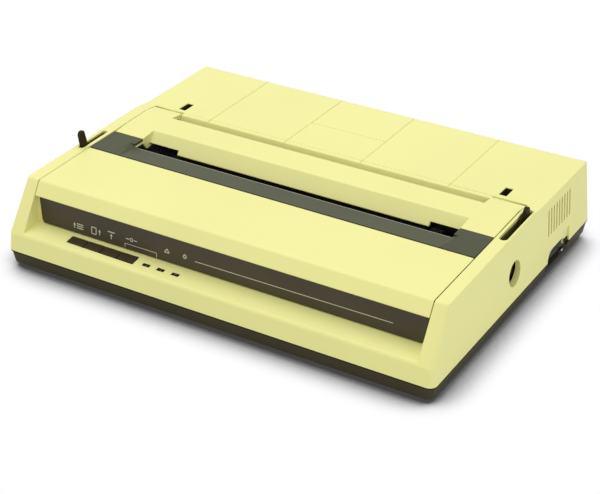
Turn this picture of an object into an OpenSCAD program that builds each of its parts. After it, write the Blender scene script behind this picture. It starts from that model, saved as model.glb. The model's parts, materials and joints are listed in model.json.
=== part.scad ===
// Dot matrix printer: cream case on a dark tray, hinged lid, paper drive and moving print head.
// Frame: X to the right, Y to the back, Z up; the origin is on the table under the case's centre.

/* [Case] */
// Width of the case at its split line
case_w = 362; // [350:1:380]
// Depth of the case at its split line
case_d = 276; // [270:1:290]
// Height of the rear deck above the table
deck_z = 68; // [66:0.5:72]
// Height of the split line between tray and case
split_z = 15; // [14:0.5:16]
// How far each side leans in over the case's height
side_draft = 4; // [0:0.1:5]
// How far the rear wall leans in over the case's height
rear_draft = 5.5; // [3:0.1:7]
// Wall thickness of the cream case
case_wall = 3; // [2.5:0.1:3.5]
// Radius of the case's front corners at the split line
corner_r = 6; // [4.5:0.5:10]
// Radius of the case's rear corners
rear_r = 2; // [1:0.5:6]
// Radius of the front corners at the crest
crown_r = 1.5; // [1:0.5:4]
// Height of the rails' crest above the rear deck
crest_h = 2; // [1:0.1:3]
// Thickness of the deck, lid and ledge skins
skin = 2.5; // [2:0.1:3]

/* [Front] */
// Height of the nose's top edge
nose_z = 28.5; // [26:0.5:30]
// Height of the lid's front crease
crease_z = 67.2; // [66:0.1:69]
// Distance of the crease behind the front edge
crease_back = 25.5; // [22:0.1:28]
// Height of the ledge where it meets the control strip
ledge_z = 33.1; // [32:0.1:34]
// Distance of the control strip behind the front edge
strip_back = 21.2; // [19:0.1:22]
// Thickness of the control strip
strip_t = 1; // [0.8:0.1:1.5]
// Height of the lid's front lip above the table
lip_z = 56.2; // [54:0.1:58]

/* [Lid] */
// Width of each rail beside the lid, at the split line
rail_w = 14.5; // [14:0.5:20]
// Gap all round the lid
lid_gap = 0.7; // [0.4:0.1:1]
// Distance of the bay's rear edge behind the case's centre
bay_rear = 40.9; // [39:0.1:43]
// Radius of the lid's rear rolled edge, which turns about the hinge
hinge_r = 3.2; // [2.8:0.1:3.6]
// Radius of the hinge pins
hinge_pin_r = 1.6; // [1.2:0.1:2]
// Width of the lid's end blocks
end_w = 27.5; // [25:0.5:35]
// Distance of the tear strip's front edge before the centre
tear_front = 50.3; // [46:0.1:54]
// Thickness of the tear strip
tear_t = 2.2; // [1.8:0.1:2.6]
// Distance of the narrow tear strip's back edge before the centre
tear_back = 27; // [26:0.5:30]
// Distance of the wide tear strip ends' back edge before the centre
tear_end_back = 16; // [14:0.5:18]

/* [Paper drive] */
// Height of the platen's axis
platen_z = 37.2; // [36:0.1:38]
// Distance of the platen's axis before the centre
platen_fwd = 5.5; // [4:0.5:7]
// Number of pins on each pin wheel
pin_count = 8; // [8:1:8]
// Pitch of the holes along the paper's edge
pin_pitch = 12.7; // [12.5:0.1:12.9]
// Distance between the two rows of paper holes
pin_rows = 228.6; // [226:0.1:230]
// Radius of the platen shaft
shaft_r = 4; // [3.5:0.1:4.5]
// Gear module
gear_m = 1; // [1:0.05:1.05]
// Teeth on the platen gear
platen_teeth = 44; // [44:1:44]
// Teeth on the idler gear
idler_teeth = 18; // [18:1:18]
// Teeth on the line-feed pinion
pinion_teeth = 10; // [10:1:10]
// Radial running clearance of shafts in their holes
run_fit = 0.05; // [0.02:0.01:0.08]

/* [Print head] */
// Height of the guide shaft
guide_z = 16.5; // [16:0.1:17]
// Distance of the guide shaft before the centre
guide_fwd = 51; // [49:0.5:53]
// Radius of the guide shaft
guide_r = 4.5; // [4:0.1:5]
// Radius of the print head's finned body
head_r = 13; // [11:0.5:13]
// Half width of the ribbon cartridge
cartridge_half = 44; // [38:1:46]
// Distance of the drive belt behind the front edge
belt_back = 46; // [44:0.5:48]

/* [Controls] */
// Width of one button
button_w = 14.8; // [13:0.1:15]
// Depth of one button along the ledge
button_d = 8.2; // [7:0.1:9]
// Travel of a button
button_travel = 1.5; // [1:0.1:2]
// Thickness of the two levers
lever_t = 3; // [2:0.1:3.2]
// Radius of the platen-knob hole
knob_hole_r = 11.8; // [10:0.1:12]
// Number of vent slots in the right side
vent_count = 9; // [6:1:9]
// Spacing of the vent slots
vent_pitch = 5.1; // [5:0.1:5.2]

/* [Hidden] */

cream = [1, 0.99, 0.70];
dark = [0.26, 0.24, 0.20];
smoke = [0.36, 0.38, 0.37];
steel = [0.72, 0.73, 0.75];
brass = [0.78, 0.66, 0.38];
black = [0.10, 0.10, 0.10];
board_green = [0.10, 0.36, 0.22];
ivory = [0.90, 0.88, 0.80];

eps = 0.01;
least_r = 0.4;
big = 400;
half_w = case_w / 2;
front_y = -case_d / 2;
rear_y = case_d / 2;
rise = deck_z - split_z;
crest_z = deck_z + crest_h;
crest_y = 26;
crest_end_y = 45;
nose_back = 2.2;
bay_half = half_w - rail_w;
middle_half = bay_half - end_w;
nose_y = front_y + nose_back;
crease_y = front_y + crease_back;
strip_y = front_y + strip_back;
foot_h = 4;
tray_z = foot_h;
floor_t = 2.5;
floor_z = tray_z + floor_t;
lid_half = bay_half - lid_gap;
hinge_y = bay_rear - lid_gap + 0.2 - hinge_r;
hinge_z = deck_z + 0.4 - hinge_r;
platen_y = -platen_fwd;
platen_r = pin_count * pin_pitch / (2 * PI);
guide_y = -guide_fwd;
belt_y = front_y + belt_back;
// Room between a side frame and the case's split line
side_room = 33;
frame_half = half_w - side_room;
frame_t = 1.5;
// Front edge of the frame plate, the side frames and the front rail
frame_front = front_y + 33.5;
frame_rear = 50;
plate_top = 8.2;
stop_room = 8;
carriage_home = -(frame_half - cartridge_half - stop_room);

// ---- helpers -------------------------------------------------------------------------------

function unit(v) = v / norm(v);
function turn_of(a, b) = a[0] * b[1] - a[1] * b[0];
function meet(p, d, q, e) = p + d * turn_of(q - p, e) / turn_of(d, e);
function side_of(v) = [-v[1], v[0]];
// Moves every edge of an anticlockwise outline inwards by t
function inset(pts, t) = [for (i = [0 : len(pts) - 1])
    let (n = len(pts), a = pts[(i + n - 1) % n], b = pts[i], c = pts[(i + 1) % n],
         d = unit(b - a), e = unit(c - b))
    meet(b + side_of(d) * t, d, b + side_of(e) * t, e)];
function wrap(x) = x > 180 ? x - 360 : (x < -180 ? x + 360 : x);
function bend(a, b, c, r, n) = r <= 0 ? [b] :
    let (d = unit(a - b), e = unit(c - b), half = acos(d * e) / 2, mid = b + unit(d + e) * r / sin(half),
         p = b + d * r / tan(half) - mid, q = b + e * r / tan(half) - mid,
         start = atan2(p[1], p[0]), sweep = wrap(atan2(q[1], q[0]) - start))
    [for (i = [0 : n]) mid + r * [cos(start + sweep * i / n), sin(start + sweep * i / n)]];
// Rounds each corner of an outline to its own radius
function rounded(pts, radii, n = 5) = [for (i = [0 : len(pts) - 1])
    let (m = len(pts)) each bend(pts[(i + m - 1) % m], pts[i], pts[(i + 1) % m], radii[i], n)];

module along_x(x0, x1) { translate([x0, 0, 0]) rotate([90, 0, 90]) linear_extrude(x1 - x0) children(); }
module both_sides() { children(); mirror([1, 0, 0]) children(); }
module rod_x(x0, x1, y, z, r) { translate([x0, y, z]) rotate([0, 90, 0])
    cylinder(h = x1 - x0, r = r, $fn = 48); }
module rod_y(x, y0, y1, z, r) { translate([x, y0, z]) rotate([-90, 0, 0])
    cylinder(h = y1 - y0, r = r, $fn = 48); }
module block(low, high) { translate(low) cube(high - low); }
module rounded_slab(w, d, h, r) {
    union() {
        for (a = [-1, 1], b = [-1, 1]) translate([a * (w / 2 - r), b * (d / 2 - r), 0])
            cylinder(h = h, r = r, $fn = 32);
        translate([-w / 2 + r, -d / 2, 0]) cube([w - 2 * r, d, h]);
        translate([-w / 2, -d / 2 + r, 0]) cube([w, d - 2 * r, h]);
    }
}

// ---- case shape ----------------------------------------------------------------------------

function side_x(z) = half_w - side_draft * (z - split_z) / rise;
function back_y(z) = rear_y - rear_draft * (z - split_z) / rise;
front_lean = (crease_y - nose_y) / (crease_z - nose_z);
function front_at(z) = z < nose_z ? front_y + (nose_y - front_y) * (z - split_z) / (nose_z - split_z)
    : nose_y + front_lean * (z - nose_z);
// Height of the lid and rails' top between the crease and the crest
function top_at(y) = crease_z + (crest_z - crease_z) * (y - crease_y) / (crest_y - crease_y);

side_outline = [[front_y, split_z], [rear_y, split_z], [back_y(deck_z), deck_z], [crest_end_y, deck_z],
    [crest_y, crest_z], [crease_y, crease_z], [nose_y, nose_z]];
side_radii = [0, 0, 2.5, 10, 10, 3, 4];

// The case's plan, with its drafted walls and round corners, inset by t
module plan_body(t) {
    levels = [[split_z - t, corner_r], [nose_z, (corner_r + crown_r) / 2], [deck_z + 12, crown_r]];
    hull() for (level = levels, a = [-1, 1]) {
        z = level[0];
        r = max(least_r, level[1] - t);
        s = max(least_r, rear_r - t);
        translate([a * (side_x(z) - t - r), front_at(z) + t + r, z]) cylinder(h = eps, r = r, $fn = 32);
        translate([a * (side_x(z) - t - s), back_y(z) - t - s, z]) cylinder(h = eps, r = s, $fn = 32);
    }
}
module case_body(t) {
    radii = [for (r = side_radii) max(0, r - t)];
    intersection() {
        plan_body(t);
        along_x(-half_w, half_w) polygon(rounded(inset(side_outline, t), radii));
    }
}
// The space inside the case, open at the bottom
module case_hollow() {
    t = case_wall;
    radii = [for (r = side_radii) max(0, r - t)];
    intersection() {
        plan_body(t);
        union() {
            along_x(-half_w, half_w) polygon(rounded(inset(side_outline, t), radii));
            along_x(-half_w, half_w) polygon([[front_at(split_z) + t, split_z - 1],
                [back_y(split_z) - t, split_z - 1], [back_y(split_z + t) - t, split_z + t + eps],
                [front_at(split_z + t) + t, split_z + t + eps]]);
        }
    }
}

// The ledge in front of the control strip, and the strip's own slight lean
ridge_z = ledge_z - 2.5;
ridge_y = front_at(ridge_z);
strip_top = lip_z - 0.7;
strip_lean = 1.6;
function ledge_at(y) = ridge_z + (ledge_z - ridge_z) * (y - ridge_y) / (strip_y - ridge_y);
function strip_at(z) = strip_y + strip_lean * (z - ledge_z) / (strip_top - ledge_z);
ledge_dir = unit([strip_y - ridge_y, ledge_z - ridge_z]);
ledge_tilt = atan2(ledge_dir[1], ledge_dir[0]);
wall_foot = [strip_at(ledge_z) + strip_t, ledge_z];
wall_top = [strip_at(strip_top) + strip_t, strip_top];
bay_out = [[front_y - 10, ledge_at(front_y - 10)], [strip_y, ledge_z], wall_foot, wall_top,
    [bay_rear, strip_top], [bay_rear, big / 4], [front_y - 10, big / 4]];
front_panel = [[ridge_y + 1, ledge_at(ridge_y + 1)], [ridge_y + 1, ledge_at(ridge_y + 1) - skin],
    wall_foot + [skin, -skin], wall_top + [skin, 0], wall_top, wall_foot, [strip_y, ledge_z]];

// Places something on the ledge: x along the case, y up the ledge, z out of it
module on_ledge(x, y) {
    translate([x, y, ledge_at(y)]) rotate([ledge_tilt, 0, 0]) children();
}

rail_wall = 2;
rail_low = 52;
lip_back = 3.4;
deck_lip = [[bay_rear - lip_back, deck_z], [bay_rear - 7, deck_z - 9], [bay_rear - 8.2, deck_z - 16],
    [bay_rear - 6, deck_z - 16], [bay_rear - 4.8, deck_z - 9], [bay_rear, deck_z - case_wall - 1],
    [bay_rear + 0.5, deck_z - case_wall], [bay_rear + 0.5, deck_z]];
lip_half = middle_half - 0.4;
socket_x = middle_half + 5;
socket_y = bay_rear + 11.5;
socket_w = 6;
socket_l = 13.5;
panel_x0 = -40.2;
panel_x1 = 27.8;
panel_y = rear_y - 58;
panel_low = 40;
groove_x = [-half_w + 68.3, panel_x0, panel_x1, half_w - 77.7];
slot_x = bay_half + 5.3;
left_slot = [-54.5, -20.5];
left_slot_x = [-slot_x - 2.1, -slot_x + 2.1];
right_slot = [-18, 33.5];
right_slot_x = [slot_x - 2.8, slot_x + 3.4];
vent_y = rear_y - 82.5;
vent_low = 37.5;
vent_high = 59.5;
vent_w = 2.2;
switch_y = rear_y - 61.5;
inlet_x = half_w - 53;
inlet_z = 28;
port_x = -half_w + 86;
port_z = 27;
boss_top = 22;
boss_front = [half_w - 10.3, front_y + 40];
boss_rear = [half_w - 18, rear_y - 14];
boss_places = [for (a = [-1, 1], p = [boss_front, boss_rear]) [a * p[0], p[1], boss_top]];
boss_r = 4;
screw_r = 1.5;
switch_foot = split_z - 8;
switch_step = split_z + 3.9;
switch_outline = [[switch_y - 21, switch_foot], [switch_y + 21.5, switch_foot],
    [switch_y + 21.5, switch_step], [switch_y + 8, switch_step], [switch_y + 8, split_z + 8.4],
    [switch_y - 10, split_z + 8.8], [switch_y - 15, split_z + 8], [switch_y - 18.5, split_z + 6],
    [switch_y - 20.4, split_z + 2.5]];
// Shallow finger hollow above the step
switch_dip = [switch_y + 8.5, switch_y + 21.5];
dip_top = split_z + 13.5;
dip_t = 1.2;

foot_x = half_w - 26;
foot_y = rear_y - 26;
foot_r = 8;
foot_top = foot_h + 1;
screw_head_r = 3;
screw_seat = tray_z + 2.6;
plate_low = 7;
button_x0 = -half_w + 50.7;
button_y = front_y + 8.7;
lamp_x = [for (i = [0 : 2]) button_x0 + 71.1 + 12.8 * i];
lamp_y = front_y + 11.9;
rim_w = 2.5;
frame_post_x = frame_half - 10;
frame_post_y = [frame_front + 16.5, frame_rear - 28];
core_x = half_w - 87;
core_y = rear_y - 53;
core_z = 8;
core_post_x = [core_x - 20, core_x + 20];
core_post_y = [core_y - 27, core_y + 27];
board_x = [-half_w + 31, core_x - 36];
board_y = [frame_rear + 8, rear_y - 12];
board_w = board_x[1] - board_x[0];
board_d = board_y[1] - board_y[0];
board_z = 10;
board_t = 1.6;
board_post_x = [board_x[0] + 10, board_x[1] - 10];
board_post_y = [board_y[0] + 4, board_y[1] - 4];
panel_board_z = 18.5;
panel_board_x = [button_x0 - 11.7, lamp_x[2] + 9.6];
panel_board_y = [front_y + 7, front_y + 25];
panel_post_x = [panel_board_x[0] + 8, panel_board_x[1] - 6];
panel_post_y = front_y + 14;
panel_face = rear_y - 6;
rear_wall_top = 41;
inlet_w = 26.8;
inlet_h = 19.6;
inlet_fit = 0.2;
port_w = 53.6;
port_h = 12;

module post(x, y, z0, z1, r) { translate([x, y, z0]) cylinder(h = z1 - z0, r = r, $fn = 32); }
module slot_hole(sides, ends) {
    r = (sides[1] - sides[0]) / 2;
    hole_low = rail_low - 2;
    block([sides[0], ends[0] + r, hole_low], [sides[1], ends[1] - r, big / 4]);
    for (y = [ends[0] + r, ends[1] - r]) post((sides[0] + sides[1]) / 2, y, hole_low, big / 4, r);
}

module lower_case() {
    lap_w = case_w - 2 * case_wall - 1;
    lap_d = case_d - 2 * case_wall - 1.6;
    lap_t = 1.5;
    lap_r = corner_r - case_wall + 1;
    low = tray_z + 1;
    rib_y = [frame_front - 13.5, frame_front - 1.5];
    rib_step = frame_half * 0.27;
    grille_y = [core_y - 19, core_y + 3];
    board_grille = [board_x[0] + board_w * 0.24, board_y[0] + board_d * 0.3];
    color(dark) difference() {
        union() {
            difference() {
                union() {
                    hull() for (z = [tray_z, split_z - eps], a = [-1, 1], b = [-1, 1]) {
                        taper = z < split_z - 1 ? 2.2 : 0.5;
                        r = b < 0 ? corner_r : rear_r;
                        post(a * (half_w - taper - r), b * (rear_y - taper - r), z, z + eps, r);
                    }
                    translate([0, 0, split_z - 4]) rounded_slab(lap_w, lap_d, 7, lap_r);
                }
                translate([0, 0, floor_z]) rounded_slab(lap_w - 2 * lap_t, lap_d - 2 * lap_t, 20,
                    lap_r - 1);
            }
            for (p = boss_places) post(p[0], p[1], low, p[2], boss_r);
            for (a = [-1, 1], y = frame_post_y) post(a * frame_post_x, y, low, plate_low, 4);
            for (x = board_post_x, y = board_post_y) post(x, y, low, board_z, 3.5);
            for (x = panel_post_x) post(x, panel_post_y, low, panel_board_z, 2.6);
            for (x = core_post_x, y = core_post_y) post(x, y, low, core_z, 4);
            for (i = [-3 : 3])
                block([i * rib_step - 0.8, rib_y[0], low], [i * rib_step + 0.8, rib_y[1], floor_z + 3]);
            for (o = [[inlet_x, 22], [port_x, 42]])
                block([o[0] - o[1], panel_face - 2.5, low], [o[0] + o[1], panel_face, rear_wall_top]);
        }
        // Notches behind the case's rear openings
        for (o = [[inlet_x, 18.6], [port_x, 39.6]])
            block([o[0] - o[1], panel_face + 0.1, split_z - 1.5], [o[0] + o[1], rear_y + 1, big / 8]);
        inlet_body(inlet_fit, panel_face - 4, panel_face + 1);
        port_throat(inlet_fit, panel_face - 4, panel_face + 1);
        along_x(half_w - 12, half_w + 1) polygon(switch_outline);
        for (p = boss_places) {
            post(p[0], p[1], tray_z - 1, p[2] + 1, screw_r + run_fit);
            post(p[0], p[1], tray_z - 1, screw_seat, screw_head_r + 0.4);
        }
        for (a = [-1, 1], b = [-1, 1]) post(a * foot_x, b * foot_y, tray_z - 1, foot_top, foot_r + 0.1);
        for (i = [0 : 13], y = grille_y)
            grille_slot(core_x - 34 + 5 * i, y, 16);
        for (i = [0 : 13]) grille_slot(board_grille[0] + 5 * i, board_grille[1], 30);
    }
}
module grille_slot(x, y, l) { block([x, y, tray_z - 1], [x + 2.2, y + l, floor_z + 1]); }
// A block of size w by h round the line (x, z) that runs from y0 to y1, grown by g
module bar_y_at(x, z, w, h, g, y0, y1) {
    block([x - w / 2 - g, y0, z - h / 2 - g], [x + w / 2 + g, y1, z + h / 2 + g]);
}
module inlet_body(g, y0, y1) { bar_y_at(inlet_x, inlet_z, inlet_w, inlet_h, g, y0, y1); }
module port_throat(g, y0, y1) { bar_y_at(port_x, port_z, port_w, port_h, g, y0, y1); }

module upper_case() {
    color(cream) difference() {
        union() {
            difference() {
                case_body(0);
                case_hollow();
                along_x(-bay_half, bay_half) polygon(bay_out);
            }
            along_x(-bay_half - 1, bay_half + 1) polygon(front_panel);
            both_sides() along_x(bay_half, bay_half + rail_wall) intersection() {
                polygon(rounded(inset(side_outline, 0.3), side_radii));
                union() {
                    translate([front_y, rail_low]) square([bay_rear - front_y + 2, big]);
                    translate([front_y, ridge_z - 6])
                        square([strip_back + strip_t + strip_lean + skin + 2, big]);
                }
            }
            along_x(-lip_half, lip_half) polygon(rounded(deck_lip, [1.5, 0, 0, 0, 0, 0, 0, 0]));
            // Wall across the rear of the bay beside the paper slot
            both_sides() block([lip_half - 1, bay_rear, deck_z - 6],
                [bay_half + rail_wall, bay_rear + rail_wall, deck_z - 1]);
            both_sides() translate([socket_x, socket_y, deck_z - 9]) difference() {
                block([-socket_w / 2 - 1.5, -socket_l / 2 - 1.5, 0],
                    [socket_w / 2 + 1.5, socket_l / 2 + 1.5, 8]);
                block([-socket_w / 2, -socket_l / 2, -1], [socket_w / 2, socket_l / 2, 9]);
            }
            intersection() {
                for (p = boss_places) post(p[0], p[1], p[2], deck_z - 1, boss_r);
                case_body(1);
            }
            // Rim that carries the interface cover
            difference() {
                block([panel_x0 - rim_w, panel_y - rim_w, deck_z - case_wall - 1.8],
                    [panel_x1 + rim_w, back_y(deck_z) - 4.5, deck_z - 1]);
                block([panel_x0 + rim_w, panel_y + rim_w, deck_z - 10],
                    [panel_x1 - rim_w, rear_y, deck_z + 1]);
                block([panel_x0, panel_y, deck_z - case_wall], [panel_x1, rear_y, deck_z + 1]);
            }
            // Ring round the platen-knob hole
            intersection() {
                rod_x(side_x(platen_z) - case_wall - 1.2, half_w, platen_y, platen_z, knob_hole_r + 2.5);
                case_body(0.5);
            }
        }
        rod_x(half_w - 12, half_w + 1, platen_y, platen_z, knob_hole_r);
        block([panel_x0, panel_y, deck_z - case_wall], [panel_x1, rear_y + 1, deck_z + 1]);
        block([panel_x0, rear_y - 12, panel_low], [panel_x1, rear_y + 1, deck_z + 1]);
        both_sides() block([socket_x - socket_w / 2, socket_y - socket_l / 2, deck_z - 12],
            [socket_x + socket_w / 2, socket_y + socket_l / 2, deck_z + 5]);
        slot_hole(right_slot_x, right_slot);
        slot_hole(left_slot_x, left_slot);
        for (i = [0 : vent_count - 1]) translate([0, vent_y + vent_pitch * i, 0])
            block([half_w - 8, 0, vent_low], [half_w + 1, vent_w, vent_high]);
        along_x(half_w - 12, half_w + 1) polygon(switch_outline);
        block([side_x(dip_top) - dip_t, switch_dip[0], switch_step - 1],
            [half_w + 1, switch_dip[1], dip_top]);
        for (o = [[inlet_x, 18], [port_x, 39]])
            block([o[0] - o[1], rear_y - 9, split_z - 2], [o[0] + o[1], rear_y + 1, rear_wall_top - 1]);
        for (p = boss_places) post(p[0], p[1], p[2] - 1, screw_tip + 1, screw_r + run_fit);
        both_sides() rod_x(bay_half - 1, bay_half + rail_wall + 1, hinge_y, hinge_z, hinge_pin_r + run_fit);
        for (i = [0 : 3]) block([groove_x[i] - 0.4, bay_rear - 5, deck_z - 0.5],
            [groove_x[i] + 0.4, i == 1 || i == 2 ? panel_y : rear_y, deck_z + 1]);
        // Ledge openings for the buttons and the indicators
        on_ledge(button_x0 - 0.5, button_y) block([0, 0, -10],
            [4 * (button_w + 0.5) + 0.5, button_d + 1, 5]);
        for (x = lamp_x) on_ledge(x, lamp_y) block([-3.3, -1.7, -10], [3.3, 1.7, 5]);
    }
}

module interface_cover() {
    g = 0.4;
    color(cream) difference() {
        union() {
            block([panel_x0 + g, panel_y + g, deck_z - case_wall],
                [panel_x1 - g, back_y(deck_z) - 2, deck_z]);
            along_x(panel_x0 + g, panel_x1 - g) polygon(rounded([[back_y(deck_z) - 8, deck_z - case_wall],
                [back_y(deck_z) - case_wall, deck_z - case_wall],
                [back_y(panel_low) - case_wall, panel_low + g],
                [back_y(panel_low), panel_low + g], [back_y(deck_z), deck_z], [back_y(deck_z) - 8, deck_z]],
                [0, 0, 0, 0, 2.5, 0]));
        }
        // Finger notch in its front edge's underside
        block([(panel_x0 + panel_x1) / 2 - 8, panel_y, deck_z - case_wall - 1],
            [(panel_x0 + panel_x1) / 2 + 8, panel_y + 3, deck_z - case_wall + 1]);
    }
}

screw_tip = 31;
module rubber_feet() {
    color(black) for (a = [-1, 1], b = [-1, 1]) translate([a * foot_x, b * foot_y, 0])
        rotate_extrude($fn = 48)
        polygon([[0, 0], [foot_r - 1.2, 0], [foot_r, 1.5], [foot_r, foot_top], [0, foot_top]]);
}
module case_screws() {
    color(steel) for (p = boss_places) difference() {
        union() {
            post(p[0], p[1], screw_seat - 2.2, screw_seat, screw_head_r);
            post(p[0], p[1], screw_seat - 1, screw_tip, screw_r);
        }
        translate([p[0], p[1], screw_seat - 2.2]) for (a = [0, 90]) rotate([0, 0, a])
            block([-2, -0.4, -1], [2, 0.4, 1]);
    }
}

module control_strip() {
    e = bay_half - 1.6;
    foot = e - 2.5;
    low = [strip_at(ledge_z + 0.6), ledge_z + 0.6];
    high = [strip_at(strip_top - 0.3), strip_top - 0.3];
    back = [strip_t - 0.02, 0];
    color(dark) intersection() {
        along_x(-e, e) polygon([low, low + back, high + back, high]);
        translate([0, strip_y + 5, 0]) rotate([90, 0, 0]) linear_extrude(12) {
            polygon([[-foot + 2, ledge_z], [foot - 2, ledge_z], [foot, ledge_z + 3], [e, strip_top + 1],
                [-e, strip_top + 1], [-foot, ledge_z + 3]]);
        }
    }
}
module indicator_lenses() {
    color([0.25, 0.08, 0.06]) for (x = lamp_x) on_ledge(x, lamp_y) block([-3.2, -1.6, -3], [3.2, 1.6, 0]);
}
panel_board_top = panel_board_z + board_t;
module control_board() {
    color(board_green) difference() {
        block([panel_board_x[0], panel_board_y[0], panel_board_z],
            [panel_board_x[1], panel_board_y[1], panel_board_top]);
        for (x = panel_post_x) post(x, panel_post_y, panel_board_z - 1, panel_board_top + 1, 1.2);
    }
}
button_pitch = button_w + 0.5;
button_mid = button_y + 0.5 + button_d / 2;
function button_x(i) = button_x0 + button_w / 2 + i * button_pitch;
stem_l = 5.6;
switch_h = 5.3;
// Depth of each switch's pocket, which takes the pressed stem
pocket = button_travel + 1.3;
module panel_switches() {
    color(black) {
        for (i = [0 : 3]) translate([button_x(i), button_mid + 0.9, panel_board_top]) difference() {
            block([-3.2, -3.2, 0], [3.2, 3.2, switch_h]);
            translate([0, 0, switch_h - pocket]) cylinder(h = pocket + 0.2, r = 2, $fn = 24);
        }
        for (x = lamp_x) post(x, lamp_y + 0.4, panel_board_top, ledge_at(lamp_y) - 3.6, 1.5);
    }
}
module button(i) {
    color(dark) {
        on_ledge(button_x(i) - button_w / 2, button_y + 0.5) difference() {
            block([0, 0, -3.2], [button_w, button_d, 0.3]);
            block([1, 1, -4], [button_w - 1, button_d - 1, -1.2]);
        }
        on_ledge(button_x(i), button_mid) translate([0, 0, -stem_l])
            cylinder(h = stem_l - 1, r = 1.2, $fn = 24);
    }
}
module line_feed_button() { button(0); }
module form_feed_button() { button(1); }
module page_top_button() { button(2); }
module select_button() { button(3); }

// ---- boards, power and sockets ---------------------------------------------------------------

board_top = board_z + board_t;
module main_board() {
    color(board_green) difference() {
        block([board_x[0], board_y[0], board_z], [board_x[1], board_y[1], board_top]);
        for (x = board_post_x, y = board_post_y) post(x, y, board_z - 1, board_top + 1, 1.6);
    }
}
// A chip of size w by l, its corner at the shares fx and fy of the board
module chip(fx, fy, w, l, h) {
    translate([board_x[0] + fx * board_w, board_y[0] + fy * board_d, board_top]) cube([w, l, h]);
}
module board_chips() {
    long_l = 0.53 * board_d;
    short_l = 0.29 * board_d;
    color(black) {
        for (i = [0 : 3]) chip(0.087 + 0.144 * i, 0.12, 15, long_l, 4.5);
        for (i = [0 : 4]) chip(0.683 + 0.053 * i, 0.12, 7, short_l, 3.5);
        for (i = [0, 1]) translate([board_x[0] + (0.673 + 0.067 * i) * board_w, board_y[1] - 12, 0])
            post(0, 0, board_top, board_top + 18, 5);
    }
}
module heat_sink() {
    sink = [board_x[1] - 44, board_y[1] - 19];
    color([0.62, 0.63, 0.65]) translate([sink[0], sink[1], board_top]) {
        block([0, -3, 0], [30, 0, 24]);
        for (i = [0 : 5]) block([5.6 * i, -12, 0], [5.6 * i + 2, -2, 24]);
    }
}
core_low = core_z + 2;
module transformer_core() {
    color([0.45, 0.46, 0.47]) difference() {
        union() {
            block([core_x - 24, core_y - 31, core_z], [core_x + 24, core_y + 31, core_low]);
            block([core_x - 22, core_y - 19, core_z + 1], [core_x + 22, core_y + 19, core_low + 42]);
        }
        for (a = [-11.5, 11.5]) translate([core_x + a, core_y, core_low])
            block([-4.5, -25, 7], [4.5, 25, 35]);
        for (x = core_post_x, y = core_post_y) post(x, y, core_z - 1, core_low + 1, 2);
    }
}
module transformer_coil() {
    color([0.55, 0.36, 0.18]) difference() {
        block([core_x - 16, core_y - 26, core_low + 7], [core_x + 16, core_y + 26, core_low + 35]);
        block([core_x - 7, core_y - 19, core_low + 6], [core_x + 7, core_y + 19, core_low + 36]);
    }
}
flange_y = panel_face + 2;
module mains_inlet() {
    color(black) {
        difference() {
            union() {
                inlet_body(0, panel_face - 20, panel_face + 1);
                block([inlet_x - 15.5, panel_face, inlet_z - 11], [inlet_x + 15.5, flange_y, inlet_z + 11]);
            }
            block([inlet_x - 12, flange_y - 14, inlet_z - 8.2],
                [inlet_x + 12, flange_y + 1, inlet_z + 8.2]);
        }
        for (p = [[-7, 2], [0, -2.5], [7, 2]])
            bar_y_at(inlet_x + p[0], inlet_z + p[1], 2, 4.4, 0, flange_y - 15, flange_y - 1.5);
    }
}
module parallel_connector() {
    color(steel) difference() {
        union() {
            block([port_x - 31, panel_face - 14, board_top], [port_x + 31, panel_face - 2.5, port_z + 8]);
            port_throat(0, panel_face - 3, panel_face + 1);
            block([port_x - 37, panel_face, port_z - 8], [port_x + 37, flange_y, port_z + 8]);
            port_throat(-0.2, panel_face + 1, flange_y + 3.5);
            for (a = [-1, 1]) bar_y_at(port_x + a * 33, port_z, 3, 10, 0, panel_face + 1, flange_y + 2.5);
        }
        port_throat(-1.4, flange_y - 6, flange_y + 4);
    }
    // Tongue that carries the contacts
    color(black) bar_y_at(port_x, port_z, port_w - 8, 2.8, 0, flange_y - 7, flange_y + 2.5);
}

pivot_x = half_w - 8;
rocker_r = 15;
rocker_z0 = 10.3;
rocker_z1 = 18.7;
rocker_tilt = -7;
module power_switch_body() {
    window = rocker_r + 0.3;
    color(black) difference() {
        union() {
            along_x(half_w - 5.5, half_w - 1.4) polygon(inset(switch_outline, 0.4));
            block([pivot_x - 12, switch_y - 17.5, rocker_z0 - 2],
                [half_w - 5, switch_y + 17.5, rocker_z1 + 1.7]);
            block([pivot_x - 11, switch_y - 14, floor_z], [pivot_x, switch_y + 14, rocker_z0 - 1]);
        }
        block([pivot_x - 7, switch_y - window, rocker_z0 - 0.3],
            [half_w, switch_y + window, rocker_z1 + 0.3]);
        post(pivot_x, switch_y, rocker_z0 - 1.2, rocker_z1 + 1.2, 1.5 + run_fit);
    }
}
module power_rocker() {
    color([0.2, 0.2, 0.2]) translate([pivot_x, switch_y, 0]) rotate([0, 0, rocker_tilt]) {
        translate([0, 0, rocker_z0]) linear_extrude(rocker_z1 - rocker_z0) intersection() {
            circle(r = rocker_r, $fn = 96);
            polygon([[-4, -16], [6, -16], [4.2, 0], [6, 16], [-4, 16]]);
        }
        translate([0, 0, rocker_z0 - 1]) cylinder(h = rocker_z1 - rocker_z0 + 2, r = 1.5, $fn = 32);
    }
}

// ---- lid -----------------------------------------------------------------------------------

tear_y0 = -tear_front;
tear_y1 = -tear_back;
tear_y2 = -tear_end_back;
tear_z = top_at(tear_y0);
tear_slope = -0.1356;
tear_end_slope = -0.0076;
function mid_top(y) = tear_z + tear_slope * (y - tear_y0);
function end_top(y) = tear_z + tear_end_slope * (y - tear_y0);
facet_x0 = middle_half - 2;
facet_x1 = middle_half + 4;
bar_y = -1;
bar_foot = [-10.5, deck_z - 10.3];
bar_rear_low = deck_z - 6;
bar_notch_x = middle_half - 28;
bar_notch_z = deck_z - 6.7;

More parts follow.
